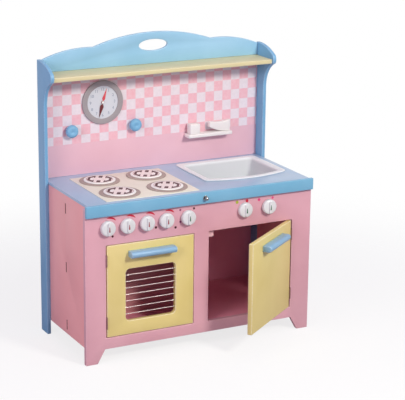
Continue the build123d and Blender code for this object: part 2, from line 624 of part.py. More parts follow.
# Towel hook: a ball on a short stem, in the middle of the fascia
hook_z = COUNTER_HEIGHT - FASCIA_H / 2
hook = rod((HOOK_X, FASCIA_FACE, hook_z), TO_FRONT, HOOK_BASE_R, HOOK_BASE_T)
hook += rod((HOOK_X, FASCIA_FACE, hook_z), TO_FRONT, HOOK_STEM_R, HOOK_BASE_T + HOOK_STEM_L)
hook += Pos(HOOK_X, FASCIA_FACE - HOOK_BASE_T - HOOK_STEM_L, hook_z) * Sphere(HOOK_BALL_R)
save("towel_hook", hook)

# Hob: a thin panel with four burners, each a flat disc, a raised cap and a grate.
# A grate is two brackets, cut from an octagon, and two fingers between them
hob_top = COUNTER_HEIGHT + HOB_T
save("hob_panel", block(HOB_X - HOB_W / 2, HOB_X + HOB_W / 2, HOB_Y - HOB_D / 2, HOB_Y + HOB_D / 2,
                        COUNTER_HEIGHT, hob_top))
cap_z = hob_top + BURNER_T
grate_z = cap_z + CAP_T
octagon = RegularPolygon(GRATE_R, GRATE_SIDES, rotation=180 / GRATE_SIDES)
brackets = octagon - offset(octagon, amount=-GRATE_BAR) - Rectangle(2 * GRATE_GAP, 2 * GRATE_R)
finger = Rectangle(GRATE_FINGER_W, GRATE_FINGER_L)
grate_faces = [*brackets.faces(), Pos(0, GRATE_FINGER_MID) * finger, Pos(0, -GRATE_FINGER_MID) * finger]
burner_discs = []
burner_caps = []
burner_grates = []
for dx in (-BURNER_PITCH_X / 2, BURNER_PITCH_X / 2):
    for dy in (-BURNER_PITCH_Y / 2, BURNER_PITCH_Y / 2):
        x = HOB_X + dx
        y = BURNERS_Y + dy
        burner_discs.append(rod((x, y, hob_top), (0, 0, 1), BURNER_R, BURNER_T))
        cap = rod((x, y, cap_z), (0, 0, 1), CAP_R, CAP_T)
        burner_caps.append(fillet(cap.edges().sort_by(Axis.Z)[-1], CAP_ROUND))
        for face in grate_faces:
            placed = Pos(x, y, grate_z) * Rot(0, 0, GRATE_TURN) * face
            burner_grates.append(extrude(placed, amount=GRATE_T))
save("burner_discs", *burner_discs)
save("burner_caps", *burner_caps)
save("burner_grates", *burner_grates)

# Clock: a dial inside a flat ring, and two diamond hands on a headed pin
dial_face = SPLASH_FACE - DIAL_T
ring = Pos(CLOCK_X, CLOCK_Z) * (Circle(CLOCK_R) - Circle(DIAL_R))
save("clock_ring", upright_board(ring, SPLASH_FACE - CLOCK_RING_T, CLOCK_RING_T))
pin_l = 2 * (HAND_T + HAND_GAP) + HAND_GAP
clock_pin = rod((CLOCK_X, dial_face, CLOCK_Z), TO_FRONT, CLOCK_PIN_R, pin_l)
clock_pin += rod((CLOCK_X, dial_face - pin_l, CLOCK_Z), TO_FRONT, CLOCK_PIN_HEAD_R, CLOCK_PIN_HEAD_T)
save("clock_pin", clock_pin)
dial = Pos(CLOCK_X, CLOCK_Z) * Circle(DIAL_R)
save("clock_dial", upright_board(dial, dial_face, DIAL_T))


def clock_hand(length, width, angle, layer):
    """A flat diamond with a round hub, drawn at twelve and turned clockwise."""
    waist = HAND_WAIST * length
    blade = make_face(Polyline((0, length), (width / 2, waist), (0, -HAND_HUB_R), (-width / 2, waist),
                               close=True))
    outline = blade + Circle(HAND_HUB_R) - Circle(CLOCK_PIN_R + HAND_FIT)
    y_back = dial_face - HAND_GAP - layer * (HAND_T + HAND_GAP)
    placed = Pos(CLOCK_X, CLOCK_Z) * Rot(0, 0, -angle) * outline
    return upright_board(placed, y_back - HAND_T, HAND_T)


save("clock_hour_hand", clock_hand(HOUR_HAND_L, HOUR_HAND_W, HOUR_HAND_ANGLE, 0))
save("clock_minute_hand", clock_hand(MINUTE_HAND_L, MINUTE_HAND_W, MINUTE_HAND_ANGLE, 1))

# Pegs: two turned knobs to hang utensils on, screwed through the splash panel
splash_screws = []
splash_holes = []


def splash_screw(x, z):
    """A screw let into the rear of the splash panel, and the hole for it."""
    fixing, hole = sunk_screw(x, REAR, z, BACK_T)
    splash_screws.append(fixing)
    splash_holes.append(hole)
    return hole


peg_head_mid = (PEG_NECK_L + PEG_L) / 2
peg_profile = make_face([
    Line((0, 0), (PEG_NECK_R, 0)),
    Line((PEG_NECK_R, 0), (PEG_NECK_R, PEG_NECK_L)),
    ThreePointArc((PEG_NECK_R, PEG_NECK_L), (PEG_R, peg_head_mid), (PEG_NECK_R, PEG_L)),
    Line((PEG_NECK_R, PEG_L), (0, PEG_L)),
    Line((0, PEG_L), (0, 0)),
])
peg_shape = revolve(Plane.XZ * peg_profile, Axis.Z)
pegs = []
for x in (CLOCK_X - PEG_SPREAD, CLOCK_X + PEG_SPREAD):
    peg = Plane(origin=(x, SPLASH_FACE, PEG_Z), z_dir=TO_FRONT) * peg_shape
    pegs.append(peg - splash_screw(x, PEG_Z))
save("utensil_pegs", *pegs)

# Tap: a slab on the wall with a square block, and a spout that swings out over the sink
tap_left = TAP_X - TAP_W / 2
tap_right = TAP_X + TAP_W / 2
tap_y = SPLASH_FACE - TAP_D / 2
spout_x = tap_right - SPOUT_INSET
tap_base = block(tap_left, tap_right, SPLASH_FACE - TAP_D, SPLASH_FACE, TAP_Z, TAP_TOP)
tap_base -= rod((spout_x, tap_y, TAP_TOP), (0, 0, -1), SPOUT_PIN_R + SPOUT_PIN_FIT, SPOUT_PIN_L)
for x in (TAP_X - TAP_SCREW_STEP, TAP_X):
    tap_base -= splash_screw(x, TAP_Z + TAP_T / 2)
save("tap_base", tap_base)
block_left = tap_left + TAP_BLOCK_INSET
block_front = tap_y - TAP_BLOCK_D / 2
save("tap_block", block(block_left, block_left + TAP_BLOCK_W, block_front, block_front + TAP_BLOCK_D,
                        TAP_TOP, TAP_TOP + TAP_BLOCK_H))

spout_foot = TAP_TOP + SPOUT_GAP
spout_top = TAP_TOP + SPOUT_H
outlet_foot = TAP_TOP + SPOUT_UNDER
outlet_top = outlet_foot + SPOUT_TIP_H
outlet_x = spout_x - SPOUT_L
foot_left = spout_x - SPOUT_W / 2
foot_right = spout_x + SPOUT_W / 2
spout_outline = make_face([
    Line((foot_left, spout_foot), (foot_right, spout_foot)),
    Line((foot_right, spout_foot), (foot_right, spout_top)),
    SagittaArc((foot_right, spout_top), (outlet_x, outlet_top), SPOUT_SAG),
    Line((outlet_x, outlet_top), (outlet_x, outlet_foot)),
    SagittaArc((outlet_x, outlet_foot), (foot_left, spout_foot), -SPOUT_BELLY),
])
spout = upright_board(spout_outline, tap_y - SPOUT_D / 2, SPOUT_D)
spout += rod((spout_x, tap_y, spout_foot), (0, 0, -1), SPOUT_PIN_R, SPOUT_PIN_L - SPOUT_GAP)
save("tap_spout", spout)

# Splash panel, drilled for the pegs and the tap, and its screws
splash = block(-HALF, HALF, SPLASH_FACE, REAR, COUNTER_HEIGHT, SHELF_Z)
save("splash_panel", splash - splash_holes)
save("splash_screws", *splash_screws)
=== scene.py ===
import json
import math

import bmesh
import bpy
from mathutils import Matrix, Vector


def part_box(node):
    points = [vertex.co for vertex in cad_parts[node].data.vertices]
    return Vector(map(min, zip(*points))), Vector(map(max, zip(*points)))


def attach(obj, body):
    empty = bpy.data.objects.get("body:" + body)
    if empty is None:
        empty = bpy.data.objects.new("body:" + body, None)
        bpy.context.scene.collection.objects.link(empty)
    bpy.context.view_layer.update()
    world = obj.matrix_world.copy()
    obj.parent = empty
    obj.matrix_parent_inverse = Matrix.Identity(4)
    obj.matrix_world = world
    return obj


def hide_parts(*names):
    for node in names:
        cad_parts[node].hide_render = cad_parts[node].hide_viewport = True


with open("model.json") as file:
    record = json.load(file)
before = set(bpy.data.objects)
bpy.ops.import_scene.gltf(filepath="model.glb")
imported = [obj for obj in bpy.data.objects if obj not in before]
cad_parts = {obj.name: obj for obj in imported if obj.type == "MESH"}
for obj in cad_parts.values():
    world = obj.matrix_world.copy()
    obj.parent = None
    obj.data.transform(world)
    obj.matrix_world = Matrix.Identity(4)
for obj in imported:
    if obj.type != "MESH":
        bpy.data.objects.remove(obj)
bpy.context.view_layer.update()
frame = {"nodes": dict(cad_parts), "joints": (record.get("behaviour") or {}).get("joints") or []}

# Inner boards: the cabinet's floor, divider, back and the oven's thin back, of painted fibreboard.
# Each is sawn square, its arrises broken with paper, and glued between the side panels.
# The oven back's tabs run through the left side panel, and their bare ends show there.
MM = 0.001
SHARP = 0.6
PAINT_GLOSS = 0.42
PAINT_EDGE_WEAR_AND_HIGHLIGHT = 0.28
CLOUDING = 0.93


def round_edges(shape, edges, radius, segments=3):
    """Round edges over, and mark the new strips so that paint thins on them and takes a painted highlight.
    """
    made = bmesh.ops.bevel(shape, geom=list(edges), offset=radius, segments=segments, profile=0.5,
                           affect="EDGES", material=-1, clamp_overlap=True)
    worn_highlit_edge = shape.faces.layers.float["worn_highlit_edge"]
    for face in made["faces"]:
        face.smooth = True
        face[worn_highlit_edge] = 1.0


def new_shape():
    """An empty mesh whose faces can be marked as worn edges with a painted highlight."""
    shape = bmesh.new()
    shape.faces.layers.float.new("worn_highlit_edge")
    return shape


def board(low, high, radius):
    """A sawn board between two corners, with its edges eased."""
    shape = new_shape()
    bmesh.ops.create_cube(shape, size=1)
    bmesh.ops.scale(shape, vec=high - low, verts=shape.verts)
    bmesh.ops.translate(shape, vec=(low + high) / 2, verts=shape.verts)
    round_edges(shape, shape.edges, radius)
    return shape


def piece(name, parts, body, slot, *nodes):
    """Join pairs of shape and finish into one object that rides on a body and stands for CAD nodes."""
    whole = new_shape()
    mesh = bpy.data.meshes.new(name)
    for shape, finish in parts:
        if mesh.materials.find(finish.name) < 0:
            mesh.materials.append(finish)
        for face in shape.faces:
            face.material_index = mesh.materials.find(finish.name)
        loose = bpy.data.meshes.new(name + "_part")
        shape.to_mesh(loose)
        shape.free()
        whole.from_mesh(loose)
        bpy.data.meshes.remove(loose)
    whole.to_mesh(mesh)
    whole.free()
    mesh.set_sharp_from_angle(angle=SHARP)
    made = bpy.data.objects.new(name, mesh)
    bpy.context.scene.collection.objects.link(made)
    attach(made, body)
    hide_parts(*nodes)
    return made


def plain_board(name, node, radius, finish, slot):
    """A piece of the cabinet that is one sawn board and fills a CAD node's box."""
    return piece(name, [(board(*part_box(node), radius), finish)], "cabinet", slot, node)


def colour(red, green, blue):
    """A colour given as it looks on a screen, 0 to 255, in linear light."""
    return [(value / 255) ** 2.2 for value in (red, green, blue)] + [1.0]


def darker(coat, share):
    """A colour that keeps a share of its light."""
    return [value * share for value in coat[:3]] + [1.0]


def paler(coat, share):
    """A colour that keeps a share of its depth, with white for the rest."""
    return [1 - (1 - value) * share for value in coat[:3]] + [1.0]


def feed(node, inputs):
    """Set a node's inputs, each from a value or from another node's output."""
    for key, value in inputs.items():
        if isinstance(value, bpy.types.NodeSocket):
            node.id_data.links.new(value, node.inputs[key])
        else:
            node.inputs[key].default_value = value


def add_node(tree, kind, inputs=None, **options):
    """Add a shader node to a tree, with some options and inputs."""
    added = tree.nodes.new("ShaderNode" + kind)
    for option, value in options.items():
        setattr(added, option, value)
    feed(added, inputs or {})
    return added


def noise(place, scale, detail):
    """Cloudy noise, with its scale in blotches to a metre and its detail in finer layers."""
    cloudy = add_node(place.id_data, "TexNoise", {"Vector": place, "Scale": scale, "Detail": detail})
    return cloudy.outputs["Fac"]


def new_finish(name):
    """A new material, with its shader and the object's own coordinates."""
    finish = bpy.data.materials.new(name)
    finish.use_nodes = True
    tree = finish.node_tree
    place = add_node(tree, "TexCoord").outputs["Object"]
    return finish, tree.nodes["Principled BSDF"], place


def blend_colours(share, first, second):
    """A colour between two others."""
    mixed = add_node(share.id_data, "Mix", {0: share, 6: first, 7: second}, data_type="RGBA")
    return mixed.outputs[2]


def spread(value, low=0, high=1):
    """A noise value, which lies near its middle, spread over a range."""
    ranged = add_node(value.id_data, "MapRange", {"Value": value, 1: 0.3, 2: 0.7, 3: low, 4: high})
    return ranged.outputs["Result"]


def grained(grain, coat, share):
    """A colour that a noise darkens here and there to a share of its light."""
    return blend_colours(spread(grain), darker(coat, share), coat)


def emboss(shader, height, strength, depth):
    """Raise a fine relief on a shader, from a noise as its height."""
    bump = add_node(shader.id_data, "Bump", {"Height": height, "Strength": strength, "Distance": depth})
    feed(shader, {"Normal": bump.outputs["Normal"]})


def paint_colours(place, coat, edge_wear_and_highlight=PAINT_EDGE_WEAR_AND_HIGHLIGHT):
    """Paint that clouds a little from hand's breadth to hand's breadth; rounded edges are paler, by wear
    and a painted highlight.
    """
    cloud = noise(place, 7, 3)
    fleck = noise(place, 260, 2)
    deep = darker(coat, CLOUDING)
    pale = paler(coat, CLOUDING)
    thin_and_highlit = paler(coat, 1 - edge_wear_and_highlight)
    clouded = blend_colours(spread(cloud, 0.1, 0.9), deep, pale)
    tree = place.id_data
    # Rounded edges turn paler, as worn paint and as a painted highlight.
    worn_highlit_edge = add_node(tree, "Attribute", attribute_name="worn_highlit_edge").outputs["Fac"]
    share = add_node(tree, "Math", {0: worn_highlit_edge, 1: spread(fleck, 0.1, 0.7)}, operation="MULTIPLY")
    return blend_colours(share.outputs["Value"], clouded, thin_and_highlit), cloud


def satin_paint(name, coat, gloss=PAINT_GLOSS, edge_wear_and_highlight=PAINT_EDGE_WEAR_AND_HIGHLIGHT):
    """Sprayed satin paint on fibreboard, with a faint orange peel."""
    finish, shader, place = new_finish(name)
    tint, cloud = paint_colours(place, coat, edge_wear_and_highlight)
    rough = spread(cloud, gloss - 0.05, gloss + 0.06)
    feed(shader, {"Base Color": tint, "Roughness": rough})
    peel = noise(place, 420, 2)
    emboss(shader, peel, 0.08, 0.4 * MM)
    return finish


def bare_fibreboard(name, coat):
    """The sawn, unpainted end of a fibreboard."""
    finish, shader, place = new_finish(name)
    fibre = noise(place, 900, 4)
    tint = grained(fibre, coat, 0.55)
    feed(shader, {"Base Color": tint, "Roughness": 0.85})
    emboss(shader, fibre, 0.5, 0.4 * MM)
    return finish


INNER_EASE = 0.8 * MM
TAB_EASE = 0.4 * MM
TAB_FOOT = 60 * MM
TAB_HEIGHT = 32 * MM
TAB_STEP = 188 * MM
TAB_COUNT = 3
inner_pink = satin_paint("inner_pink", colour(240, 148, 170), 0.5)
back_mauve = satin_paint("back_mauve", colour(238, 160, 190), 0.5)
# The oven back is darker than the inner pink: painted shade, so that the oven looks dark inside through its
# window.
oven_back_shade = satin_paint("oven_back_shade", colour(208, 140, 146), 0.5)
tab_end = bare_fibreboard("tab_end", colour(128, 72, 66))
plain_board("divider_board", "centre_divider", INNER_EASE, back_mauve, "pink_paint")
plain_board("back_board", "cabinet_back", INNER_EASE, back_mauve, "pink_paint")

floor_low, floor_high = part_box("cabinet_floor")
divider_low, divider_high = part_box("centre_divider")
oven_back_low, oven_back_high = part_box("oven_back")
cupboard_floor_low = Vector((divider_low.x, floor_low.y, floor_low.z))
oven_floor_high = Vector((divider_low.x, oven_back_low.y, floor_high.z))
piece("floor_boards",
      [(board(floor_low, oven_floor_high, INNER_EASE), inner_pink),
       (board(cupboard_floor_low, floor_high, INNER_EASE), inner_pink)],
      "cabinet", "pink_paint", "cabinet_floor")

oven_back_parts = [(board(Vector((floor_low.x, oven_back_low.y, oven_back_low.z)), oven_back_high,
                          INNER_EASE), oven_back_shade)]
tab_feet = [TAB_FOOT + step * TAB_STEP for step in range(TAB_COUNT)]
for foot in tab_feet:
    tab_low = Vector((oven_back_low.x, oven_back_low.y, foot))
    tab_high = Vector((floor_low.x, oven_back_high.y, foot + TAB_HEIGHT))
    oven_back_parts.append((board(tab_low, tab_high, TAB_EASE), tab_end))
piece("oven_back_board", oven_back_parts, "cabinet", "pink_paint", "oven_back")

# Side panels: two fibreboard sides of the cabinet, sprayed pink and screwed to the hutch sides.
# The left one is routed with three slots for the oven back's tabs.
ARC_ERROR = 0.05 * MM


def trace(shape, corners, steps=None):
    """Draw a line in the front view through corners of across, up and bow, and give its two ends.
    A bow is how far the stretch to the next corner bulges to its left, as an arc."""
    first = shape.verts.new((corners[0][0], 0, corners[0][1]))
    pen = first
    for here, there in zip(corners, corners[1:]):
        start = Vector(here[:2])
        chord = Vector(there[:2]) - start
        bow = here[2] if len(here) > 2 else 0
        if bow:
            half = chord.length / 2
            radius = (half * half + bow * bow) / (2 * bow)
            left = Vector((-chord.y, chord.x)).normalized()
            centre = start + chord / 2 + left * (bow - radius)
            sweep = 2 * math.asin(half / radius)
            fine = 2 * math.acos(1 - ARC_ERROR / abs(radius))
            made = bmesh.ops.spin(shape, geom=[pen], cent=(centre.x, 0, centre.y), axis=(0, 1, 0),
                                  angle=sweep, steps=steps or math.ceil(abs(sweep) / fine))
            pen = next(item for item in made["geom_last"] if isinstance(item, bmesh.types.BMVert))
        else:
            corner = shape.verts.new((there[0], 0, there[1]))
            shape.edges.new((pen, corner))
            pen = corner
    return first, pen


def draw(shape, corners, steps=None):
    """Draw a closed outline in the front view, and give its edges."""
    old = set(shape.edges)
    first, last = trace(shape, corners + corners[:1], steps)
    bmesh.ops.weld_verts(shape, targetmap={last: first})
    return [edge for edge in shape.edges if edge not in old]


def rectangle(left, right, foot, top):
    """The four corners of an opening or a board, anticlockwise in the front view."""
    return [(left, foot), (right, foot), (right, top), (left, top)]


def saw(shape, edges, thickness, radius, segments=3):
    """Saw a board of some thickness from drawn outlines, holes included, and round its edges."""
    filled = bmesh.ops.triangle_fill(shape, use_beauty=True, use_dissolve=True, edges=edges)
    faces = [item for item in filled["geom"] if isinstance(item, bmesh.types.BMFace)]
    grown = bmesh.ops.extrude_face_region(shape, geom=faces)
    rear = [item for item in grown["geom"] if isinstance(item, bmesh.types.BMVert)]
    bmesh.ops.translate(shape, vec=(0, thickness, 0), verts=rear)
    bmesh.ops.recalc_face_normals(shape, faces=shape.faces)
    sharp = [edge for edge in shape.edges if edge.calc_face_angle(0) > SHARP]
    round_edges(shape, sharp, radius, segments)


def sawn(outlines, thickness, radius, segments=3):
    """A new board, sawn to its first outline, with any further outlines as holes."""
    shape = new_shape()
    lines = [edge for corners in outlines for edge in draw(shape, corners)]
    saw(shape, lines, thickness, radius, segments)
    return shape


def move(shape, offset):
    """Shift a shape to its place."""
    bmesh.ops.translate(shape, vec=offset, verts=shape.verts)


def turn(shape, angle, axis, centre=(0, 0, 0)):
    """Turn a shape about an axis through a point."""
    bmesh.ops.rotate(shape, cent=centre, matrix=Matrix.Rotation(angle, 3, axis), verts=shape.verts)


QUARTER = math.pi / 2
PANEL_EASE = 1.5 * MM
SLOT_FIT = 0.2 * MM
# The side panels' pink is warmer than the front panel's, and brighter as painted light that lifts the
# sides.
side_pink = satin_paint("side_pink", colour(255, 177, 176))
low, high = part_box("left_side_panel")
outlines = [rectangle(low.y, high.y, low.z, high.z)]
for foot in tab_feet:
    outlines.append(rectangle(oven_back_low.y - SLOT_FIT, oven_back_high.y + SLOT_FIT,
                              foot - SLOT_FIT, foot + TAB_HEIGHT + SLOT_FIT))
left_panel = sawn(outlines, high.x - low.x, TAB_EASE)
turn(left_panel, QUARTER, "Z")
move(left_panel, (high.x, 0, 0))
piece("left_side_board", [(left_panel, side_pink)], "cabinet", "pink_paint", "left_side_panel")
plain_board("right_side_board", "right_side_panel", PANEL_EASE, side_pink, "pink_paint")

# Front panel: one fibreboard with two openings and two splayed feet, routed and sprayed pink.
# It is glued to the front edges of the side panels and the divider.
SKIRT_HEIGHT = 44 * MM
FOOT_WIDTH = 38.5 * MM
FOOT_SPLAY = 25 * MM
STILE_WIDTH = 67.5 * MM
MULLION_WIDTH = 50 * MM
OPENING_TOP = 373.5 * MM
panel_pink = satin_paint("panel_pink", colour(224, 166, 178))
front_low, front_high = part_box("front_panel")
foot_inner = front_high.x - FOOT_WIDTH
skirt_end = foot_inner - FOOT_SPLAY
outlines = [[(front_low.x, 0), (-foot_inner, 0), (-skirt_end, SKIRT_HEIGHT), (skirt_end, SKIRT_HEIGHT),
             (foot_inner, 0), (front_high.x, 0), (front_high.x, front_high.z), (front_low.x, front_high.z)]]
opening_outer = front_high.x - STILE_WIDTH
for side in (-1, 1):
    reach = sorted((side * MULLION_WIDTH / 2, side * opening_outer))
    outlines.append(rectangle(*reach, floor_high.z, OPENING_TOP))
front_panel = sawn(outlines, front_high.y - front_low.y, PANEL_EASE)
move(front_panel, (0, front_low.y, 0))
piece("front_board", [(front_panel, panel_pink)], "cabinet", "pink_paint", "front_panel")

# Door stops: two pink blocks glued behind the openings' inner top corners.
# Each has a round magnet let into its face and sprayed over, and a strike in the door meets it.
STOP_EASE = 0.6 * MM
MAGNET_FIT = 0.05 * MM


def draw_oval(shape, across, up, wide, high, steps=32):
    """Draw an oval of two half widths in the front view, and give its edges."""
    stand = Matrix.Translation((across, 0, up)) @ Matrix.Rotation(QUARTER, 4, "X")
    made = bmesh.ops.create_circle(shape, segments=steps, radius=1,
                                   matrix=stand @ Matrix.Diagonal((wide, high, 1, 1)))
    return list({edge: None for vert in made["verts"] for edge in vert.link_edges})


def brushed_metal(name, tone, rough):
    """Plain plated steel, with a fine satin grain."""
    finish, shader, place = new_finish(name)
    grain = noise(place, 500, 3)
    tint = grained(grain, tone, 0.7)
    feed(shader, {"Base Color": tint, "Metallic": 1.0,
                  "Roughness": spread(grain, rough - 0.08, rough + 0.1)})
    emboss(shader, grain, 0.05, 0.1 * MM)
    return finish


def coat_node(node, finish):
    """Give a CAD node that stays in sight its finish."""
    slots = frame["nodes"][node].data.materials
    slots.clear()
    slots.append(finish)


stop_low, stop_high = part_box("door_stops")
magnet_low, magnet_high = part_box("door_magnets")
magnet_radius = (magnet_high.z - magnet_low.z) / 2
# The blocks' pink is paler than the front panel's: painted light against the shade they sit in behind the
# openings.
stop_pink = satin_paint("stop_pink", colour(246, 196, 204))
stops = []
for side in (-1, 1):
    reach = sorted((side * divider_high.x, side * stop_high.x))
    stop = new_shape()
    stop_lines = draw(stop, rectangle(*reach, stop_low.z, stop_high.z))
    seat = magnet_radius + MAGNET_FIT
    stop_lines += draw_oval(stop, side * (magnet_high.x - magnet_radius), magnet_high.z - magnet_radius,
                            seat, seat)
    saw(stop, stop_lines, stop_high.y - magnet_low.y, STOP_EASE)
    move(stop, (0, magnet_low.y, 0))
    stops.append((stop, stop_pink))
piece("stop_blocks", stops, "cabinet", "pink_paint", "door_stops")
coat_node("door_magnets", stop_pink)

# Hinges: two small bronzed butt hinges to a door, with pressed leaves, rolled knuckles and a pin.
# Their leaves are screwed to the door's edge and to the edge of the opening.
# The other screws, bolts and strikes of the kitchen are the same steel.
bronzed_steel = brushed_metal("bronzed_steel", colour(178, 140, 138), 0.5)
for node in ("hinge_frame_leaves", "hinge_pins", "hinge_frame_screws", "oven_hinge_leaves",
             "oven_hinge_screws", "oven_strike", "oven_handle_screws", "cupboard_hinge_leaves",
             "cupboard_hinge_screws", "cupboard_strike", "cupboard_handle_screws", "knob_bolts",
             "side_panel_screws", "splash_screws"):
    coat_node(node, bronzed_steel)

# Oven door: a yellow fibreboard with a rounded window routed through it.
# Seven plated rods lie across the window, let into grooves at the back of the door.
DOOR_EASE = 2 * MM
WINDOW_SIDE = 62 * MM
WINDOW_BASE = 43.5 * MM
WINDOW_DROP = 81 * MM
WINDOW_CORNER = 14 * MM
CORNER_BOW = 1 - math.sqrt(0.5)


def rounded_rectangle(left, right, foot, top, radius):
    """A rectangle with quarter-round corners, clockwise, so that each corner's arc bulges outwards."""
    bow = radius * CORNER_BOW
    return [(left, foot + radius), (left, top - radius, bow), (left + radius, top),
            (right - radius, top, bow), (right, top - radius), (right, foot + radius, bow),
            (right - radius, foot), (left + radius, foot, bow)]


# The doors' rounded edges are made much paler: a painted highlight along them, as well as wear.
door_yellow = satin_paint("door_yellow", colour(231, 211, 131), edge_wear_and_highlight=0.6)
door_low, door_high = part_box("oven_door")
window = rounded_rectangle(door_low.x + WINDOW_SIDE, door_high.x - WINDOW_SIDE,
                           door_low.z + WINDOW_BASE, door_high.z - WINDOW_DROP, WINDOW_CORNER)
oven_door = sawn([rectangle(door_low.x, door_high.x, door_low.z, door_high.z), window],
                 door_high.y - door_low.y, DOOR_EASE)
move(oven_door, (0, door_low.y, 0))
piece("oven_door_board", [(oven_door, door_yellow)], "oven_door_leaf", "yellow_paint", "oven_door")
coat_node("oven_window_rods", brushed_metal("rod_steel", colour(208, 196, 196), 0.34))

# Door handles: wooden bars, flat where they lie on the door and rounded at the front, sprayed blue.
# Each is screwed on from the back of its door, and the cupboard's stands open with it.
HINGE_PIN_RADIUS = 1 * MM
HANDLE_ROUND = 2.5 * MM
WELD = 0.001 * MM
NEARLY_FLAT = 0.999
BAR_SIDE = 0.1
FORWARD = Vector((0, -1, 0))
UP = Vector((0, 0, 1))


def lathe(profile, place, direction, radius=0, steps=64):
    """Turn a profile of radius, height and bow, and round the edges that it leaves sharp."""
    shape = new_shape()
    trace(shape, profile)
    bmesh.ops.spin(shape, geom=shape.verts[:] + shape.edges[:], cent=(0, 0, 0), axis=UP,
                   angle=2 * math.pi, steps=steps, use_merge=True)
    bmesh.ops.remove_doubles(shape, verts=shape.verts, dist=WELD)
    bmesh.ops.recalc_face_normals(shape, faces=shape.faces)
    for face in shape.faces:
        face.smooth = abs(face.normal.z) < NEARLY_FLAT
    if radius:
        round_edges(shape, [edge for edge in shape.edges if edge.calc_face_angle(0) > SHARP], radius)
    matrix = UP.rotation_difference(direction).to_matrix()
    bmesh.ops.rotate(shape, cent=(0, 0, 0), matrix=matrix, verts=shape.verts)
    move(shape, place)
    return shape


def plain_disc(radius, rise):
    """The profile of a plain disc."""
    return [(0, 0), (radius, 0), (radius, rise), (0, rise)]


def plain_ring(bore, radius, rise):
    """The closed profile of a plain ring."""
    return [(bore, 0), (radius, 0), (radius, rise), (bore, rise), (bore, 0)]


def swing_open(shape):
    """Swing a shape that was made with the cupboard door closed to where the door stands."""
    joint = next(item for item in frame["joints"] if item["name"] == "cupboard_door_swing")
    hinge_low, hinge_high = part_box("hinge_pins")
    axis = Vector((hinge_high.x - HINGE_PIN_RADIUS, (hinge_low.y + hinge_high.y) / 2, 0))
    turn(shape, -math.radians(joint["range_deg"][0]), "Z", axis)


handle_blue = satin_paint("handle_blue", colour(130, 176, 208), 0.36)
handle_low, handle_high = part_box("oven_handle")
handle_radius = (handle_high.z - handle_low.z) / 2
handle_length = handle_high.x - handle_low.x
flat_end = handle_low.y + handle_radius
bar_corners = [(handle_high.y, handle_low.z), (flat_end, handle_low.z, handle_radius),
               (flat_end, handle_high.z), (handle_high.y, handle_high.z)]
for door in ("oven", "cupboard"):
    bar = sawn([bar_corners], handle_length, HANDLE_ROUND)
    for face in bar.faces:
        face.smooth = face.smooth or abs(face.normal.y) < BAR_SIDE
    turn(bar, QUARTER, "Z")
    if door == "oven":
        move(bar, (handle_high.x, 0, 0))
    else:
        move(bar, (-handle_low.x, 0, 0))
        swing_open(bar)
    piece(f"{door}_handle_bar", [(bar, handle_blue)], f"{door}_door_leaf", "blue_paint", f"{door}_handle")

# Cupboard door: a plain yellow fibreboard the size of the oven door, standing ajar.
# It is cut and rounded in the same way and hangs on the right-hand stile.
cupboard_door = board(Vector((-door_high.x, door_low.y, door_low.z)),
                      Vector((-door_low.x, door_high.y, door_high.z)), DOOR_EASE)
swing_open(cupboard_door)
piece("cupboard_door_board", [(cupboard_door, door_yellow)],
      "cupboard_door_leaf", "yellow_paint", "cupboard_door")

# Countertop and fascia: a blue lacquered board with a cut-out for the sink, and a deep front strip.
# The lacquer is smoother than the paint elsewhere and mirrors the wall behind it softly.
COUNTER_EASE = 1.2 * MM
SINK_BOW = 29 * MM
SINK_CORNER = 16 * MM
SINK_HOLE_INSET = 18 * MM
CORNER_STEPS = 8
sink_low, sink_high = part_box("sink_basin")
sink_mid = (sink_low.x + sink_high.x) / 2
sink_half = (sink_high.x - sink_low.x) / 2
bow_radius = (sink_half ** 2 + SINK_BOW ** 2) / (2 * SINK_BOW)
bow_centre = sink_low.y + bow_radius


def sink_corners(inset):
    """The sink's plan at some inset from its rim: square at the back, bowed at the front.
    Drawn flat in the front view, with its depth as height."""
    half = sink_half - inset
    back = sink_high.y - inset
    bow = bow_radius - inset
    round_x = half - SINK_CORNER
    round_y = bow_centre - math.sqrt((bow - SINK_CORNER) ** 2 - round_x ** 2)
    lean = math.atan2(round_x, bow_centre - round_y)
    touch_x = bow * math.sin(lean)
    touch_y = bow_centre - bow * math.cos(lean)
    front_bow = SINK_CORNER * (1 - math.cos((QUARTER - lean) / 2))
    back_bow = SINK_CORNER * CORNER_BOW
    return [(sink_mid - half, round_y), (sink_mid - half, back - SINK_CORNER, back_bow),
            (sink_mid - round_x, back), (sink_mid + round_x, back, back_bow),
            (sink_mid + half, back - SINK_CORNER), (sink_mid + half, round_y, front_bow),
            (sink_mid + touch_x, touch_y, bow - bow * math.cos(lean)),
            (sink_mid - touch_x, touch_y, front_bow)]


def gloss_lacquer(name, coat):
    """Blue lacquer with a soft gloss, a little uneven, and fine wiping marks."""
    finish, shader, place = new_finish(name)
    tint, cloud = paint_colours(place, coat, 0.1)
    feed(shader, {"Base Color": tint, "Roughness": spread(cloud, 0.3, 0.4),
                  "Coat Weight": 0.35, "Coat Roughness": 0.22})
    ripple = noise(place, 120, 2)
    emboss(shader, ripple, 0.02, 0.3 * MM)
    return finish


counter_blue = gloss_lacquer("counter_blue", colour(162, 190, 218))
fascia_blue = satin_paint("fascia_blue", colour(111, 177, 210), 0.38, 0.1)
low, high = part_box("countertop")
countertop = new_shape()
counter_lines = draw(countertop, rectangle(low.x, high.x, low.y, high.y))
counter_lines += draw(countertop, sink_corners(SINK_HOLE_INSET), CORNER_STEPS)
saw(countertop, counter_lines, high.z - low.z, COUNTER_EASE)
turn(countertop, -QUARTER, "X")
move(countertop, (0, 0, high.z))
piece("counter_board", [(countertop, counter_blue)], "cabinet", "counter_blue", "countertop")
plain_board("fascia_strip", "counter_fascia", COUNTER_EASE, fascia_blue, "blue_paint")

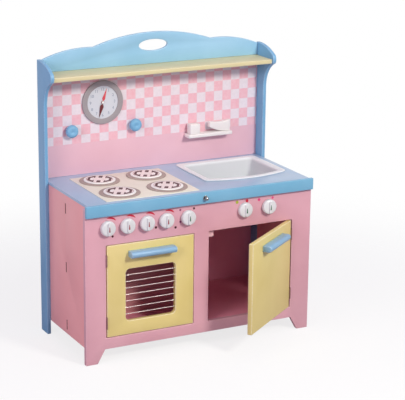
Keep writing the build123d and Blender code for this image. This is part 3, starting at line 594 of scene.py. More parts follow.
# Towel hook: a chromed ball on a short stem with a round foot, in the middle of the fascia.
# It is turned from one bar and screwed in from behind.
HOOK_FOOT = 8 * MM
HOOK_FOOT_RISE = 1.5 * MM
HOOK_STEM = 2.5 * MM
HOOK_BALL = 6 * MM
HOOK_EASE = 0.4 * MM
HOOK_STEPS = 32
hook_low, hook_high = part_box("towel_hook")
hook_rise = hook_high.y - hook_low.y
ball_foot = hook_rise - HOOK_BALL - math.sqrt(HOOK_BALL ** 2 - HOOK_STEM ** 2)
ball_chord = math.hypot(HOOK_STEM - HOOK_BALL, hook_rise - HOOK_BALL - ball_foot)
half_ball_bow = HOOK_BALL - math.sqrt(HOOK_BALL ** 2 - (ball_chord / 2) ** 2)
hook_profile = [(0, 0), (HOOK_FOOT, 0), (HOOK_FOOT, HOOK_FOOT_RISE), (HOOK_STEM, HOOK_FOOT_RISE),
                (HOOK_STEM, ball_foot, -half_ball_bow),
                (HOOK_BALL, hook_rise - HOOK_BALL, -HOOK_BALL * CORNER_BOW), (0, hook_rise)]
hook_seat = Vector(((hook_low.x + hook_high.x) / 2, hook_high.y, (hook_low.z + hook_high.z) / 2))


def bright_chrome(name, tone):
    """Polished chrome with faint rubbing marks."""
    finish, shader, place = new_finish(name)
    rub = noise(place, 180, 3)
    tint = grained(rub, tone, 0.85)
    feed(shader, {"Base Color": tint, "Metallic": 1.0, "Roughness": spread(rub, 0.1, 0.2)})
    return finish


chrome = bright_chrome("chrome", colour(142, 140, 144))
piece("hook_ball", [(lathe(hook_profile, hook_seat, FORWARD, HOOK_EASE, HOOK_STEPS), chrome)],
      "cabinet", "chrome", "towel_hook")

# Hob: a thin cream panel glued to the counter, with four turned burners on it.
# A burner is a taupe disc with a white cap, and a dark grate laid thick on the cap.
# Under the grate the cap is printed with a rose middle, a thin brown ring and two white ovals.
HOB_EASE = 0.6 * MM
DISC_ROUND = 1 * MM
CAP_ROUND = 1.5 * MM
BURNER_RADIUS = 63.5 * MM
CAP_RADIUS = 50 * MM
ROSE_RADIUS = 42 * MM
ROSE_RISE = 0.1 * MM
GRATE_RADIUS = 40 * MM
GRATE_BAR = 7.5 * MM
GRATE_GAP = 16 * MM
GRATE_TURN = math.radians(-31)
FINGER_WIDTH = 11.5 * MM
FINGER_LENGTH = 19 * MM
FINGER_MIDDLE = 27 * MM
GRATE_EASE = 0.3 * MM
TICK_WIDTH = 3.5 * MM
TICK_DEPTH = 11 * MM
EYE_PLACE = 25 * MM
EYE_SIZE = (6 * MM, 10 * MM)
RING_WIDTH = 1.2 * MM
EIGHTH = math.pi / 8
ROUND_STEPS = 96


def enamel(name, coat, gloss, speck=0.03):
    """Smooth enamel or moulded plastic, with a trace of dust specks and uneven gloss."""
    finish, shader, place = new_finish(name)
    dust = noise(place, 900, 3)
    cloud = noise(place, 14, 3)
    dusted = grained(dust, coat, 1 - speck)
    tint = blend_colours(spread(cloud, 0, 0.8), dusted, darker(coat, 1 - speck))
    rough = spread(cloud, gloss - 0.04, gloss + 0.06)
    feed(shader, {"Base Color": tint, "Roughness": rough})
    emboss(shader, dust, 0.03, 0.1 * MM)
    return finish


hob_cream = enamel("hob_cream", colour(238, 233, 217), 0.4)
burner_taupe = enamel("burner_taupe", colour(171, 154, 146), 0.45, 0.08)
cap_white = enamel("cap_white", colour(250, 249, 246), 0.35)
cap_rose = enamel("cap_rose", colour(249, 236, 232), 0.4)
cap_line = enamel("cap_line", colour(160, 122, 118), 0.45, 0.1)
grate_brown = enamel("grate_brown", colour(84, 52, 54), 0.45, 0.2)
plain_board("hob_plate", "hob_panel", HOB_EASE, hob_cream, "hob_cream")


def grate_bracket(side):
    """One side of an octagonal grate, with its two ends turned in; drawn in plan."""
    far = GRATE_RADIUS * math.cos(EIGHTH)
    near = GRATE_RADIUS * math.sin(EIGHTH)
    inner = far - GRATE_BAR
    inner_near = inner * math.tan(EIGHTH)
    inner_end = inner + inner_near - GRATE_GAP
    tick_edge = GRATE_GAP + TICK_WIDTH
    tick_foot = inner_end - TICK_DEPTH
    outside = [(GRATE_GAP, tick_foot), (GRATE_GAP, far + near - GRATE_GAP), (far, near)]
    inside = [(inner, inner_near), (tick_edge, inner_end - TICK_WIDTH), (tick_edge, tick_foot)]
    upper = outside + [(across, -up) for across, up in outside[::-1]]
    lower = [(across, -up) for across, up in inside[::-1]] + inside
    return [(side * across, up) for across, up in upper + lower]


def lay_on_burner(shape, place, top):
    """Lay a shape that was drawn in the front view flat on a burner, turned as the grates are."""
    turn(shape, -QUARTER, "X")
    turn(shape, GRATE_TURN, "Z")
    move(shape, place + UP * top)


disc_low, disc_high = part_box("burner_discs")
cap_low, cap_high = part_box("burner_caps")
grate_low, grate_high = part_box("burner_grates")
burner_places = [Vector((x, y, 0)) for x in (disc_low.x + BURNER_RADIUS, disc_high.x - BURNER_RADIUS)
                 for y in (disc_low.y + BURNER_RADIUS, disc_high.y - BURNER_RADIUS)]
discs = []
caps = []
grates = []
for place in burner_places:
    disc_profile = plain_disc(BURNER_RADIUS, disc_high.z - disc_low.z)
    discs.append((lathe(disc_profile, place + UP * disc_low.z, UP, DISC_ROUND, ROUND_STEPS), burner_taupe))
    cap_profile = plain_disc(CAP_RADIUS, cap_high.z - cap_low.z)
    caps.append((lathe(cap_profile, place + UP * cap_low.z, UP, CAP_ROUND, ROUND_STEPS), cap_white))
    printed = [(plain_disc(ROSE_RADIUS, ROSE_RISE), cap_rose),
               (plain_ring(ROSE_RADIUS - RING_WIDTH, ROSE_RADIUS, 2 * ROSE_RISE), cap_line)]
    for print_profile, ink in printed:
        caps.append((lathe(print_profile, place + UP * cap_high.z, UP, 0, ROUND_STEPS), ink))
    for side in (-1, 1):
        eye = new_shape()
        eye_lines = draw_oval(eye, side * EYE_PLACE, 0, *EYE_SIZE)
        saw(eye, eye_lines, 2 * ROSE_RISE, ROSE_RISE / 2, segments=1)
        lay_on_burner(eye, place, cap_high.z + 2 * ROSE_RISE)
        caps.append((eye, cap_white))
    bars = [grate_bracket(-1), grate_bracket(1)]
    for end in (-FINGER_MIDDLE, FINGER_MIDDLE):
        bars.append(rectangle(-FINGER_WIDTH / 2, FINGER_WIDTH / 2,
                              end - FINGER_LENGTH / 2, end + FINGER_LENGTH / 2))
    for corners in bars:
        bar = sawn([corners], grate_high.z - grate_low.z, GRATE_EASE, segments=2)
        lay_on_burner(bar, place, grate_high.z)
        grates.append((bar, grate_brown))
piece("burner_plates", discs, "cabinet", "burner_taupe", "burner_discs")
piece("burner_tops", caps, "cabinet", "cap_white", "burner_caps")
piece("grate_bars", grates, "cabinet", "grate_brown", "burner_grates")

# Sink: a white plastic basin, drawn over a mould in one sheet, with a flat rim.
# It drops into the cut-out and hangs by its rim, so it lifts straight out.
# The rim thins a hair towards the bowl, so no two neighbouring rings of the mesh lie in one plane.
SINK_STEPS = 16
BOWL_SHADE_DEPTH = 10 * MM
SINK_SHEET = 3 * MM
SINK_PLAY = 1.2 * MM
RIM_SHEET = 3.9 * MM
RIM_FLAT = 15.5 * MM
RIM_THIN = 0.1 * MM
LIP_ROUND = 1.5 * MM
BOWL_ROUND = 7 * MM
WALL_LEAN = math.radians(9)
sink_top = sink_high.z


def drawn_plastic(name, rim, bowl_shade):
    """White plastic, paler on the rim and greyer down in the bowl, where the grey is painted shade."""
    finish, shader, place = new_finish(name)
    tree = place.id_data
    # Painted shade: the colour greys from the rim down into the bowl.
    height = add_node(tree, "SeparateXYZ", {"Vector": place}).outputs["Z"]
    unshaded_share = add_node(tree, "MapRange", {"Value": height, 1: sink_top - BOWL_SHADE_DEPTH, 2: sink_top})
    cloud = noise(place, 14, 3)
    clouded = grained(cloud, bowl_shade, 0.97)
    tint = blend_colours(unshaded_share.outputs["Result"], clouded, rim)
    feed(shader, {"Base Color": tint, "Roughness": spread(cloud, 0.38, 0.48),
                  "Specular IOR Level": 0.25})
    return finish


# The bowl's grey is painted shade inside the basin, under the rim's white.
sink_white = drawn_plastic("sink_white", colour(234, 237, 238), colour(205, 209, 212))
sink_depth = sink_top - sink_low.z
round_across = BOWL_ROUND * math.cos(WALL_LEAN)
round_drop = BOWL_ROUND * (1 - math.sin(WALL_LEAN))
round_bow = BOWL_ROUND * (1 - math.cos((QUARTER - WALL_LEAN) / 2))
outer_top = SINK_HOLE_INSET + SINK_PLAY
outer_foot = outer_top + (sink_depth - RIM_SHEET) * math.tan(WALL_LEAN)
bowl_top = RIM_FLAT + round_across
floor_rise = SINK_SHEET - sink_depth
bowl_foot = bowl_top - (floor_rise + 2 * round_drop) * math.tan(WALL_LEAN)
section = new_shape()
first, last = trace(section, [
    (outer_foot, -sink_depth), (outer_top, RIM_THIN - RIM_SHEET),
    (LIP_ROUND, -RIM_SHEET, LIP_ROUND * CORNER_BOW),
    (0, LIP_ROUND - RIM_SHEET), (0, -LIP_ROUND, LIP_ROUND * CORNER_BOW), (LIP_ROUND, 0),
    (RIM_FLAT, -RIM_THIN, round_bow), (bowl_top, -round_drop),
    (bowl_foot, floor_rise + round_drop, -round_bow), (bowl_foot + round_across, floor_rise)])
path = [first]
while path[-1] is not last:
    beside = [edge.other_vert(path[-1]) for edge in path[-1].link_edges]
    path.append(next(vert for vert in beside if vert not in path))
sink = new_shape()
rings = []
for point in path:
    ring = draw(sink, sink_corners(point.co.x), SINK_STEPS)
    ring_verts = list({vert: None for edge in ring for vert in edge.verts})
    bmesh.ops.rotate(sink, cent=(0, 0, 0), matrix=Matrix.Rotation(-QUARTER, 3, "X"), verts=ring_verts)
    bmesh.ops.translate(sink, vec=(0, 0, sink_top + point.co.z), verts=ring_verts)
    rings.append(ring)
section.free()
bmesh.ops.contextual_create(sink, geom=rings[0])
bmesh.ops.contextual_create(sink, geom=rings[-1])
for lower, upper in zip(rings, rings[1:]):
    bmesh.ops.bridge_loops(sink, edges=lower + upper)
bmesh.ops.recalc_face_normals(sink, faces=sink.faces)
for face in sink.faces:
    face.smooth = True
piece("sink_tub", [(sink, sink_white)], "sink", "white_enamel", "sink_basin")

# Knobs: seven white turned discs with a rounded grip across each, on bolts through the front panel.
# A painted line on the grip, wider at its foot, points to the marks printed on the panel round it.
KNOB_ROUND = 4 * MM
KNOB_TAPER = 0.8 * MM
KNOB_DEPTH = 15 * MM
FIN_WIDTH = 9 * MM
FIN_LENGTH = 40 * MM
FIN_SEAT = 7.5 * MM
FIN_END = 4.3 * MM
FIN_EASE = 2 * MM
LINE_WIDE = 2.2 * MM
LINE_NARROW = 0.9 * MM
LINE_FOOT = -8 * MM
LINE_TOP = 7.5 * MM
PRINT_RISE = 0.15 * MM
knob_white = enamel("knob_white", colour(226, 228, 228), 0.3, 0.02)
line_red = enamel("line_red", colour(146, 34, 50), 0.4, 0.1)
line_green = enamel("line_green", colour(26, 92, 62), 0.4, 0.1)
fin_corners = rounded_rectangle(-FIN_WIDTH / 2, FIN_WIDTH / 2, -FIN_LENGTH / 2, FIN_LENGTH / 2, FIN_END)
line_corners = [(-LINE_WIDE, LINE_FOOT), (LINE_WIDE, LINE_FOOT), (LINE_NARROW, LINE_TOP),
                (-LINE_NARROW, LINE_TOP)]
hob_knobs = ["hob_knob_1", "hob_knob_2", "hob_knob_3", "hob_knob_4"]
other_knobs = ["oven_knob", "sink_knob_left", "sink_knob_right"]
knob_places = {}
for name in hob_knobs + other_knobs:
    low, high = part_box(name)
    axis_x = (low.x + high.x) / 2
    axis_z = (low.z + high.z) / 2
    knob_radius = (high.x - low.x) / 2
    knob_places[name] = Vector((axis_x, high.y, axis_z))
    profile = [(0, 0), (knob_radius, 0), (knob_radius - KNOB_TAPER, KNOB_DEPTH), (0, KNOB_DEPTH)]
    disc = lathe(profile, knob_places[name], FORWARD, KNOB_ROUND)
    fin = sawn([fin_corners], high.y - FIN_SEAT - low.y, FIN_EASE)
    move(fin, (axis_x, low.y, axis_z))
    line = sawn([line_corners], 2 * PRINT_RISE, PRINT_RISE / 2, segments=1)
    move(line, (axis_x, low.y - PRINT_RISE, axis_z))
    line_paint = line_red if name in hob_knobs else line_green
    piece(name + "_turned", [(disc, knob_white), (fin, knob_white), (line, line_paint)],
          name + "_body", "knob_white", name)

# Panel marks: flat marks screen printed on the front panel round the knobs.
# Each hob knob has a swelling red arc, and plain dots stand beside most of the knobs.
ARC_LEFT = (-2 * MM, 28.5 * MM)
ARC_RIGHT = (29 * MM, 19.5 * MM)
ARC_OUTER = 8.5 * MM
ARC_INNER = 2.5 * MM
tints = {"red": (206, 18, 56), "dark": (74, 12, 30), "mauve": (140, 62, 104), "lime": (178, 184, 60),
         "rose": (226, 72, 128)}
inks = {name: enamel("mark_" + name, colour(*tint), 0.45, 0.1) for name, tint in tints.items()}
marks = []


def print_mark(edges, shape, name, ink):
    """Lay a printed mark on the front panel beside a knob."""
    saw(shape, edges, PRINT_RISE, PRINT_RISE / 3, segments=1)
    place = knob_places[name]
    move(shape, (place.x, front_low.y - PRINT_RISE, place.z))
    marks.append((shape, inks[ink]))


for name in hob_knobs:
    arc = new_shape()
    arc_lines = draw(arc, [(*ARC_LEFT, ARC_OUTER), (*ARC_RIGHT, -ARC_INNER)])
    print_mark(arc_lines, arc, name, "red")
# Each dot has a place across and up from its knob's axis, and a radius, in millimetres.
dots = [("hob_knob_1", 18, -28.5, 3.8, "dark"), ("hob_knob_3", 32, -19, 4, "dark"),
        ("hob_knob_4", 33.5, -27.5, 4, "dark"), ("oven_knob", -24.5, 26, 3.4, "mauve"),
        ("oven_knob", 22, 25, 3.8, "dark"), ("oven_knob", -24, -12, 3.6, "mauve"),
        ("sink_knob_left", -26, 26, 5.2, "lime"), ("sink_knob_left", 9, 27, 5, "red"),
        ("sink_knob_right", -33, 25, 5, "rose"), ("sink_knob_right", 16, 26, 4, "rose")]
for name, across, up, radius, ink in dots:
    dot = new_shape()
    print_mark(draw_oval(dot, across * MM, up * MM, radius * MM, radius * MM), dot, name, ink)
piece("panel_marks", marks, "cabinet", "pink_paint")

# Hutch sides: two tall blue fibreboards from the floor to the crest, flared out under the shelf.
# Each is routed to shape with a rounded nose, and dowelled to the shelf and the crest.
# A batten glued inside each, below the counter, takes the screws of the side panel.
HUTCH_THICKNESS = 12 * MM
POST_DEPTH = 52 * MM
FLARE_HEIGHT = 84 * MM
NOSE_HEIGHT = 27 * MM
NOSE_BULGE = 4 * MM
POST_RISE = 41.5 * MM
POST_CROWN = 8.5 * MM
HUTCH_EASE = 2 * MM
NOSE_PROUD = 3 * MM
shelf_low, shelf_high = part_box("top_shelf")
back_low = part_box("cabinet_back")[0]
# The hutch blue is deeper than the crest's, partly its own tone and partly painted shade for the sides'
# outer faces.
hutch_blue = satin_paint("hutch_blue", colour(114, 174, 214))
for side in ("left", "right"):
    low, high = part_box(f"{side}_hutch_side")
    nose = shelf_low.y - NOSE_PROUD
    front = high.y - POST_DEPTH
    flare = Vector((front - nose, FLARE_HEIGHT))
    flare_bow = flare.length / 2 * math.tan(math.atan2(flare.x, flare.y) / 2)
    side_corners = [
        (high.y, 0), (front, 0), (front, shelf_low.z - FLARE_HEIGHT, -flare_bow),
        (nose, shelf_low.z, NOSE_BULGE), (nose, shelf_low.z + NOSE_HEIGHT, POST_CROWN),
        (high.y, shelf_high.z + POST_RISE)]
    hutch_side = sawn([side_corners], HUTCH_THICKNESS, HUTCH_EASE)
    turn(hutch_side, QUARTER, "Z")
    panel_low, panel_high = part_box(f"{side}_side_panel")
    move(hutch_side, (high.x if side == "right" else panel_low.x, 0, 0))
    batten = board(Vector((panel_low.x, panel_high.y, panel_low.z)),
                   Vector((panel_high.x, back_low.y, panel_high.z)), INNER_EASE)
    piece(f"{side}_hutch_board", [(hutch_side, hutch_blue), (batten, hutch_blue)],
          "cabinet", "blue_paint", f"{side}_hutch_side")

# Splash panel: the pink wall board, with a check of pink and white squares printed on its front.
# The check runs from the shelf down to a straight lower edge, and the rest is plain paint.
CHECK_WIDTH = 31.4 * MM
CHECK_HEIGHT = 32.9 * MM
CHECK_FOOT = 604.8 * MM
FIRST_ROW = 631.8 * MM
FACING = 0.9


def printed_check(name, ground, pink, white):
    """Printed squares, each a little mottled, over a plain ground below a level."""
    finish, shader, place = new_finish(name)
    tint, cloud = paint_colours(place, ground)
    tree = place.id_data
    squares = add_node(tree, "Mapping", {"Vector": place, "Location": (0, 0.5, -FIRST_ROW / CHECK_HEIGHT),
                                         "Scale": (1 / CHECK_WIDTH, 0, 1 / CHECK_HEIGHT)})
    check = add_node(tree, "TexChecker", {"Vector": squares.outputs["Vector"], "Scale": 1})
    mottle = noise(place, 90, 3)
    pinks = blend_colours(spread(mottle), pink, paler(pink, 0.8))
    whites = blend_colours(spread(mottle), white, darker(white, 0.93))
    printed = blend_colours(check.outputs["Fac"], pinks, whites)
    height = add_node(tree, "SeparateXYZ", {"Vector": place}).outputs["Z"]
    above = add_node(tree, "Math", {0: height, 1: CHECK_FOOT}, operation="GREATER_THAN")
    tint = blend_colours(above.outputs["Value"], tint, printed)
    feed(shader, {"Base Color": tint, "Roughness": spread(cloud, 0.36, 0.46)})
    peel = noise(place, 420, 2)
    emboss(shader, peel, 0.06, 0.4 * MM)
    return finish


splash_pink = satin_paint("splash_pink", colour(238, 189, 202))
splash_check = printed_check("splash_check", colour(238, 189, 202), colour(241, 181, 193),
                             colour(241, 229, 236))
splash = plain_board("splash_board", "splash_panel", INNER_EASE, splash_pink, "pink_check")
splash.data.materials.append(splash_check)
for face in splash.data.polygons:
    if face.normal.y < -FACING:
        face.material_index = 1

# Shelf and crest: a yellow shelf board, and a blue crest with two shoulders and a long arch.
# The crest stands on the shelf's rear edge, with an oval hand hole routed through it.
# Hidden beech dowels hold both to the hutch sides.
SHOULDER_RISE = 39.5 * MM
CUSP_RISE = 67.5 * MM
CUSP_X = 207 * MM
SHOULDER_CROWN = 10 * MM
HAND_HOLE = (50 * MM, 18 * MM)
HAND_HOLE_DROP = 42 * MM
HOLE_STEPS = 64
shelf_yellow = satin_paint("shelf_yellow", colour(222, 210, 158))
crest_blue = satin_paint("crest_blue", colour(144, 196, 226))
plain_board("shelf_board", "top_shelf", DOOR_EASE, shelf_yellow, "yellow_paint")
low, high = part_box("crest_board")
crest = new_shape()
arch = high.z - low.z - CUSP_RISE
crest_lines = draw(crest, [
    (low.x, low.z), (low.x, low.z + SHOULDER_RISE, SHOULDER_CROWN), (-CUSP_X, low.z + CUSP_RISE, arch),
    (CUSP_X, low.z + CUSP_RISE, SHOULDER_CROWN), (high.x, low.z + SHOULDER_RISE), (high.x, low.z)])
crest_lines += draw_oval(crest, 0, high.z - HAND_HOLE_DROP, *HAND_HOLE, HOLE_STEPS)
saw(crest, crest_lines, high.y - low.y, DOOR_EASE)
move(crest, (0, low.y, 0))
piece("crest_arch", [(crest, crest_blue)], "cabinet", "blue_paint", "crest_board")


def bare_beech(name, coat):
    """Plain turned beech, with its grain along the dowel."""
    finish, shader, place = new_finish(name)
    drawn = add_node(place.id_data, "Mapping", {"Vector": place, "Scale": (40, 900, 900)})
    grain = noise(drawn.outputs["Vector"], 1, 4)
    tint = grained(grain, coat, 0.7)
    feed(shader, {"Base Color": tint, "Roughness": 0.7})
    emboss(shader, grain, 0.3, 0.2 * MM)
    return finish


coat_node("hutch_dowels", bare_beech("bare_beech", colour(214, 178, 132)))

# Clock: a grey ring and a pale dial glued to the wall, with two pointed hands on a headed pin.
# The hour hand is light red and the minute hand dark red, and plain numbers run round the dial.
RING_EASE = 1.5 * MM
NUMBER_RADIUS = 41.5 * MM
NUMBER_SIZE = 13 * MM
HOUR_STEP = math.pi / 6
HAND_WAIST = 0.25
HUB_RADIUS = 5 * MM
HAND_EASE = 0.25 * MM
HAND_FIT = 0.25 * MM
BLADE_FOOT = 3 * MM
PIN_RADIUS = 2 * MM
PIN_HEAD = 4 * MM
PIN_HEAD_RISE = 1.5 * MM
PIN_HEAD_EDGE = 0.75 * MM
PIN_HEAD_BOW = 0.375 * MM
HOUR_HAND = (46 * MM, 10.5 * MM, math.radians(18))
MINUTE_HAND = (50.5 * MM, 12.5 * MM, math.radians(195))
HUB_STEPS = 32
clock_grey = enamel("clock_grey", colour(164, 157, 160), 0.4, 0.06)
dial_white = enamel("dial_white", colour(217, 221, 228), 0.45, 0.03)
number_ink = enamel("number_ink", colour(138, 150, 172), 0.5, 0.1)
hour_red = enamel("hour_red", colour(232, 88, 96), 0.35, 0.08)
minute_red = enamel("minute_red", colour(104, 12, 26), 0.35, 0.1)
ring_low, ring_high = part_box("clock_ring")
dial_low, dial_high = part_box("clock_dial")
clock_mid = (dial_low + dial_high) / 2
clock_seat = Vector((clock_mid.x, ring_high.y, clock_mid.z))
ring_radius = (ring_high.x - ring_low.x) / 2
dial_radius = (dial_high.x - dial_low.x) / 2
rim_profile = plain_ring(dial_radius, ring_radius, ring_high.y - ring_low.y)
piece("clock_rim", [(lathe(rim_profile, clock_seat, FORWARD, RING_EASE, ROUND_STEPS), clock_grey)],
      "cabinet", "clock_grey", "clock_ring")
dial_profile = plain_disc(dial_radius, dial_high.y - dial_low.y)
dial_parts = [(lathe(dial_profile, clock_seat, FORWARD, 0, ROUND_STEPS), dial_white)]
for hour in range(1, 13):
    lettering = bpy.data.curves.new("hour_number", "FONT")
    lettering.body = str(hour)
    lettering.size = NUMBER_SIZE
    lettering.align_x = "CENTER"
    lettering.align_y = "CENTER"
    lettering.extrude = PRINT_RISE
    cut = bpy.data.objects.new("hour_number", lettering)
    flat = bpy.data.meshes.new_from_object(cut)
    number = new_shape()
    number.from_mesh(flat)
    bmesh.ops.remove_doubles(number, verts=number.verts, dist=WELD)
    bmesh.ops.dissolve_degenerate(number, edges=number.edges, dist=2 * WELD)
    turn(number, QUARTER, "X")
    angle = hour * HOUR_STEP
    move(number, (clock_mid.x + NUMBER_RADIUS * math.sin(angle), dial_low.y,
                  clock_mid.z + NUMBER_RADIUS * math.cos(angle)))
    dial_parts.append((number, number_ink))
    bpy.data.objects.remove(cut)
    bpy.data.meshes.remove(flat)
piece("clock_face", dial_parts, "cabinet", "dial_white", "clock_dial")
for name, (length, width, angle), paint in (("hour_hand", HOUR_HAND, hour_red),
                                            ("minute_hand", MINUTE_HAND, minute_red)):
    low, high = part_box("clock_" + name)
    thickness = high.y - low.y
    waist = HAND_WAIST * length
    blade_corners = [(0, length), (width / 2, waist), (0, BLADE_FOOT), (-width / 2, waist)]
    blade = sawn([blade_corners], thickness, HAND_EASE, segments=2)
    turn(blade, angle, "Y")
    move(blade, (clock_mid.x, low.y, clock_mid.z))
    hub_profile = plain_ring(PIN_RADIUS + HAND_FIT, HUB_RADIUS, thickness)
    hub_seat = Vector((clock_mid.x, high.y, clock_mid.z))
    hub = lathe(hub_profile, hub_seat, FORWARD, HAND_EASE, HUB_STEPS)
    piece(name + "_blade", [(blade, paint), (hub, paint)], name, "hand_red", "clock_" + name)
pin_low, pin_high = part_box("clock_pin")
pin_rise = pin_high.y - pin_low.y
head_foot = pin_rise - PIN_HEAD_RISE
pin_profile = [(0, 0), (PIN_RADIUS, 0), (PIN_RADIUS, head_foot), (PIN_HEAD, head_foot),
               (PIN_HEAD, head_foot + PIN_HEAD_EDGE, -PIN_HEAD_BOW), (0, pin_rise)]
pin_seat = Vector((clock_mid.x, pin_high.y, clock_mid.z))
piece("clock_stud", [(lathe(pin_profile, pin_seat, FORWARD), cap_white)], "cabinet", "steel", "clock_pin")

# Utensil pegs: two turned wooden knobs, sprayed blue and screwed through the splash panel.
# A peg has a neck, a full round head and a dimple turned in its end.
PEG_NECK = 11 * MM
PEG_NECK_RISE = 5 * MM
PEG_TIP = 10 * MM
PEG_DIMPLE = 3 * MM
PEG_WIDEST = 0.55
PEG_NECK_BOW = 3 * MM
PEG_HEAD_BOW = 3.5 * MM
PEG_END_BOW = 0.6 * MM
peg_low, peg_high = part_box("utensil_pegs")
peg_radius = (peg_high.z - peg_low.z) / 2
peg_rise = peg_high.y - peg_low.y
peg_profile = [(0, 0), (PEG_NECK, 0), (PEG_NECK, PEG_NECK_RISE, -PEG_NECK_BOW),
               (peg_radius, peg_rise * PEG_WIDEST, -PEG_HEAD_BOW), (PEG_TIP, peg_rise, -PEG_END_BOW),
               (0, peg_rise - PEG_DIMPLE)]
peg_blue = satin_paint("peg_blue", colour(108, 174, 214), 0.36)
pegs = []
for x in (peg_low.x + peg_radius, peg_high.x - peg_radius):
    seat = Vector((x, peg_high.y, (peg_low.z + peg_high.z) / 2))
    pegs.append((lathe(peg_profile, seat, FORWARD), peg_blue))
piece("turned_pegs", pegs, "cabinet", "blue_paint", "utensil_pegs")

# Tap: a white slab on the wall with a square block, and a spout that swivels over the sink.
# All three are solid wood, rounded over and sprayed white.
TAP_EASE = 2.5 * MM
SPOUT_FOOT = 24 * MM
SPOUT_LIFT = 0.3 * MM
SPOUT_UNDER = 17 * MM
SPOUT_TIP = 18 * MM
SPOUT_SAG = 5 * MM
SPOUT_BELLY = 3 * MM
SPOUT_PEG = 4 * MM
tap_white = satin_paint("tap_white", colour(240, 236, 234), 0.36)
plain_board("tap_slab", "tap_base", TAP_EASE, tap_white, "tap_white")
plain_board("tap_cube", "tap_block", TAP_EASE, tap_white, "tap_white")
low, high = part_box("tap_spout")
slab_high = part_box("tap_base")[1]
foot = slab_high.z + SPOUT_LIFT
outlet = slab_high.z + SPOUT_UNDER
spout_corners = [(high.x - SPOUT_FOOT, foot, SPOUT_BELLY), (low.x, outlet),
                 (low.x, outlet + SPOUT_TIP, -SPOUT_SAG), (high.x, high.z), (high.x, foot)]
spout = sawn([spout_corners], high.y - low.y, TAP_EASE)
move(spout, (0, low.y, 0))
peg_seat = Vector((high.x - SPOUT_FOOT / 2, (low.y + high.y) / 2, low.z))
peg = lathe(plain_disc(SPOUT_PEG, outlet - low.z), peg_seat, UP)
piece("tap_arm", [(spout, tap_white), (peg, tap_white)], "spout", "tap_white", "tap_spout")

# Studio: a pale floor that fades out into a white room, so that only the shadow shows on it.
# A key light stands at the front right, with a soft top light and a fill from the left.
FLOOR_REACH = 3
FLOOR_GLOW = 0.78
FADE_START = 0.7
FADE_END = 1.9
ROOM_LIGHT = 0.34
LIGHT_AIM = Vector((0, 0, 0.5))
scene = bpy.context.scene
floor_shape = bmesh.new()
bmesh.ops.create_grid(floor_shape, x_segments=1, y_segments=1, size=FLOOR_REACH)
floor_mesh = bpy.data.meshes.new("studio_floor")
floor_shape.to_mesh(floor_mesh)
floor_shape.free()
studio_floor = bpy.data.objects.new("studio_floor", floor_mesh)
scene.collection.objects.link(studio_floor)
floor_finish, shader, place = new_finish("studio_floor")
tree = place.id_data
grain = noise(place, 30, 2)
pale = blend_colours(grain, colour(250, 250, 250), colour(254, 254, 254))
seen = add_node(tree, "LightPath").outputs["Is Camera Ray"]
feed(shader, {"Base Color": blend_colours(seen, colour(186, 184, 188), pale),
              "Roughness": 0.9, "Specular IOR Level": 0.1})
distance = add_node(tree, "VectorMath", {0: place}, operation="LENGTH").outputs["Value"]
fade = add_node(tree, "MapRange", {"Value": distance, 1: FADE_START, 2: FADE_END},
                interpolation_type="SMOOTHSTEP")
glow = add_node(tree, "Emission", {"Color": (1, 1, 1, 1), "Strength": 1}).outputs["Emission"]
share = add_node(tree, "Math", {0: seen, 1: FLOOR_GLOW}, operation="MULTIPLY").outputs["Value"]
paled = add_node(tree, "MixShader", {0: share, 1: shader.outputs["BSDF"], 2: glow}).outputs["Shader"]
clear = add_node(tree, "BsdfTransparent").outputs["BSDF"]
faded = add_node(tree, "MixShader", {0: fade.outputs["Result"], 1: paled, 2: clear})
feed(tree.nodes["Material Output"], {"Surface": faded.outputs["Shader"]})
floor_mesh.materials.append(floor_finish)

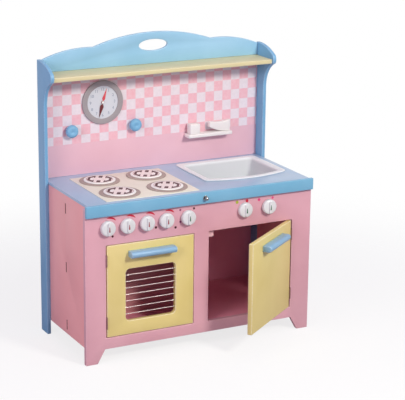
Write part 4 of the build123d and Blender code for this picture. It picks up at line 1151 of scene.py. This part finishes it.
room = bpy.data.worlds.new("studio_room")
room.use_nodes = True
scene.world = room
tree = room.node_tree
ray = add_node(tree, "LightPath")
seen = add_node(tree, "Math", {0: ray.outputs["Is Camera Ray"], 1: ray.outputs["Is Glossy Ray"]},
                operation="MAXIMUM")
seen = add_node(tree, "Math", {0: seen.outputs["Value"], 1: ray.outputs["Is Transmission Ray"]},
                operation="MAXIMUM")
lit = add_node(tree, "Background", {"Color": colour(234, 214, 255), "Strength": ROOM_LIGHT})
white = add_node(tree, "Background", {"Color": (1, 1, 1, 1), "Strength": 1})
both = add_node(tree, "MixShader", {0: seen.outputs["Value"], 1: lit.outputs["Background"],
                                    2: white.outputs["Background"]})
feed(tree.nodes["World Output"], {"Surface": both.outputs["Shader"]})


def soft_light(name, place, size, watts, tint):
    """A square light that faces the kitchen's middle."""
    lamp = bpy.data.lights.new(name, "AREA")
    lamp.size = size
    lamp.energy = watts
    lamp.color = tint[:3]
    stand = bpy.data.objects.new(name, lamp)
    facing = (LIGHT_AIM - Vector(place)).to_track_quat("-Z", "Y")
    stand.matrix_world = Matrix.Translation(place) @ facing.to_matrix().to_4x4()
    scene.collection.objects.link(stand)


soft_light("right_light", (0.95, -3.0, 2.5), size=0.6, watts=88, tint=colour(254, 254, 242))
soft_light("top_light", (0, -0.6, 3.2), size=2.0, watts=13, tint=colour(250, 252, 250))
soft_light("left_light", (-3.3, -1.5, 1.8), size=1.6, watts=46, tint=colour(252, 241, 244))

# Camera: a long lens at the photograph's viewing angle, with a slight roll.
# Its place and turn were found from the kitchen's own corners.
CAMERA_PLACE = (-2.102, -4.10709, 1.76857)
CAMERA_YAW = 0.4823
CAMERA_PITCH = 0.2776
CAMERA_ROLL = 0.0112
LENS_LENGTH = 137.16
SENSOR_WIDTH = 36
lens = bpy.data.cameras.new("camera")
lens.lens = LENS_LENGTH
lens.sensor_width = SENSOR_WIDTH
lens.sensor_fit = "HORIZONTAL"
camera = bpy.data.objects.new("camera", lens)
camera.matrix_world = (Matrix.Translation(CAMERA_PLACE) @ Matrix.Rotation(-CAMERA_YAW, 4, "Z")
                       @ Matrix.Rotation(QUARTER - CAMERA_PITCH, 4, "X")
                       @ Matrix.Rotation(CAMERA_ROLL, 4, "Z"))
scene.collection.objects.link(camera)
scene.camera = camera
scene.view_settings.view_transform = "Standard"
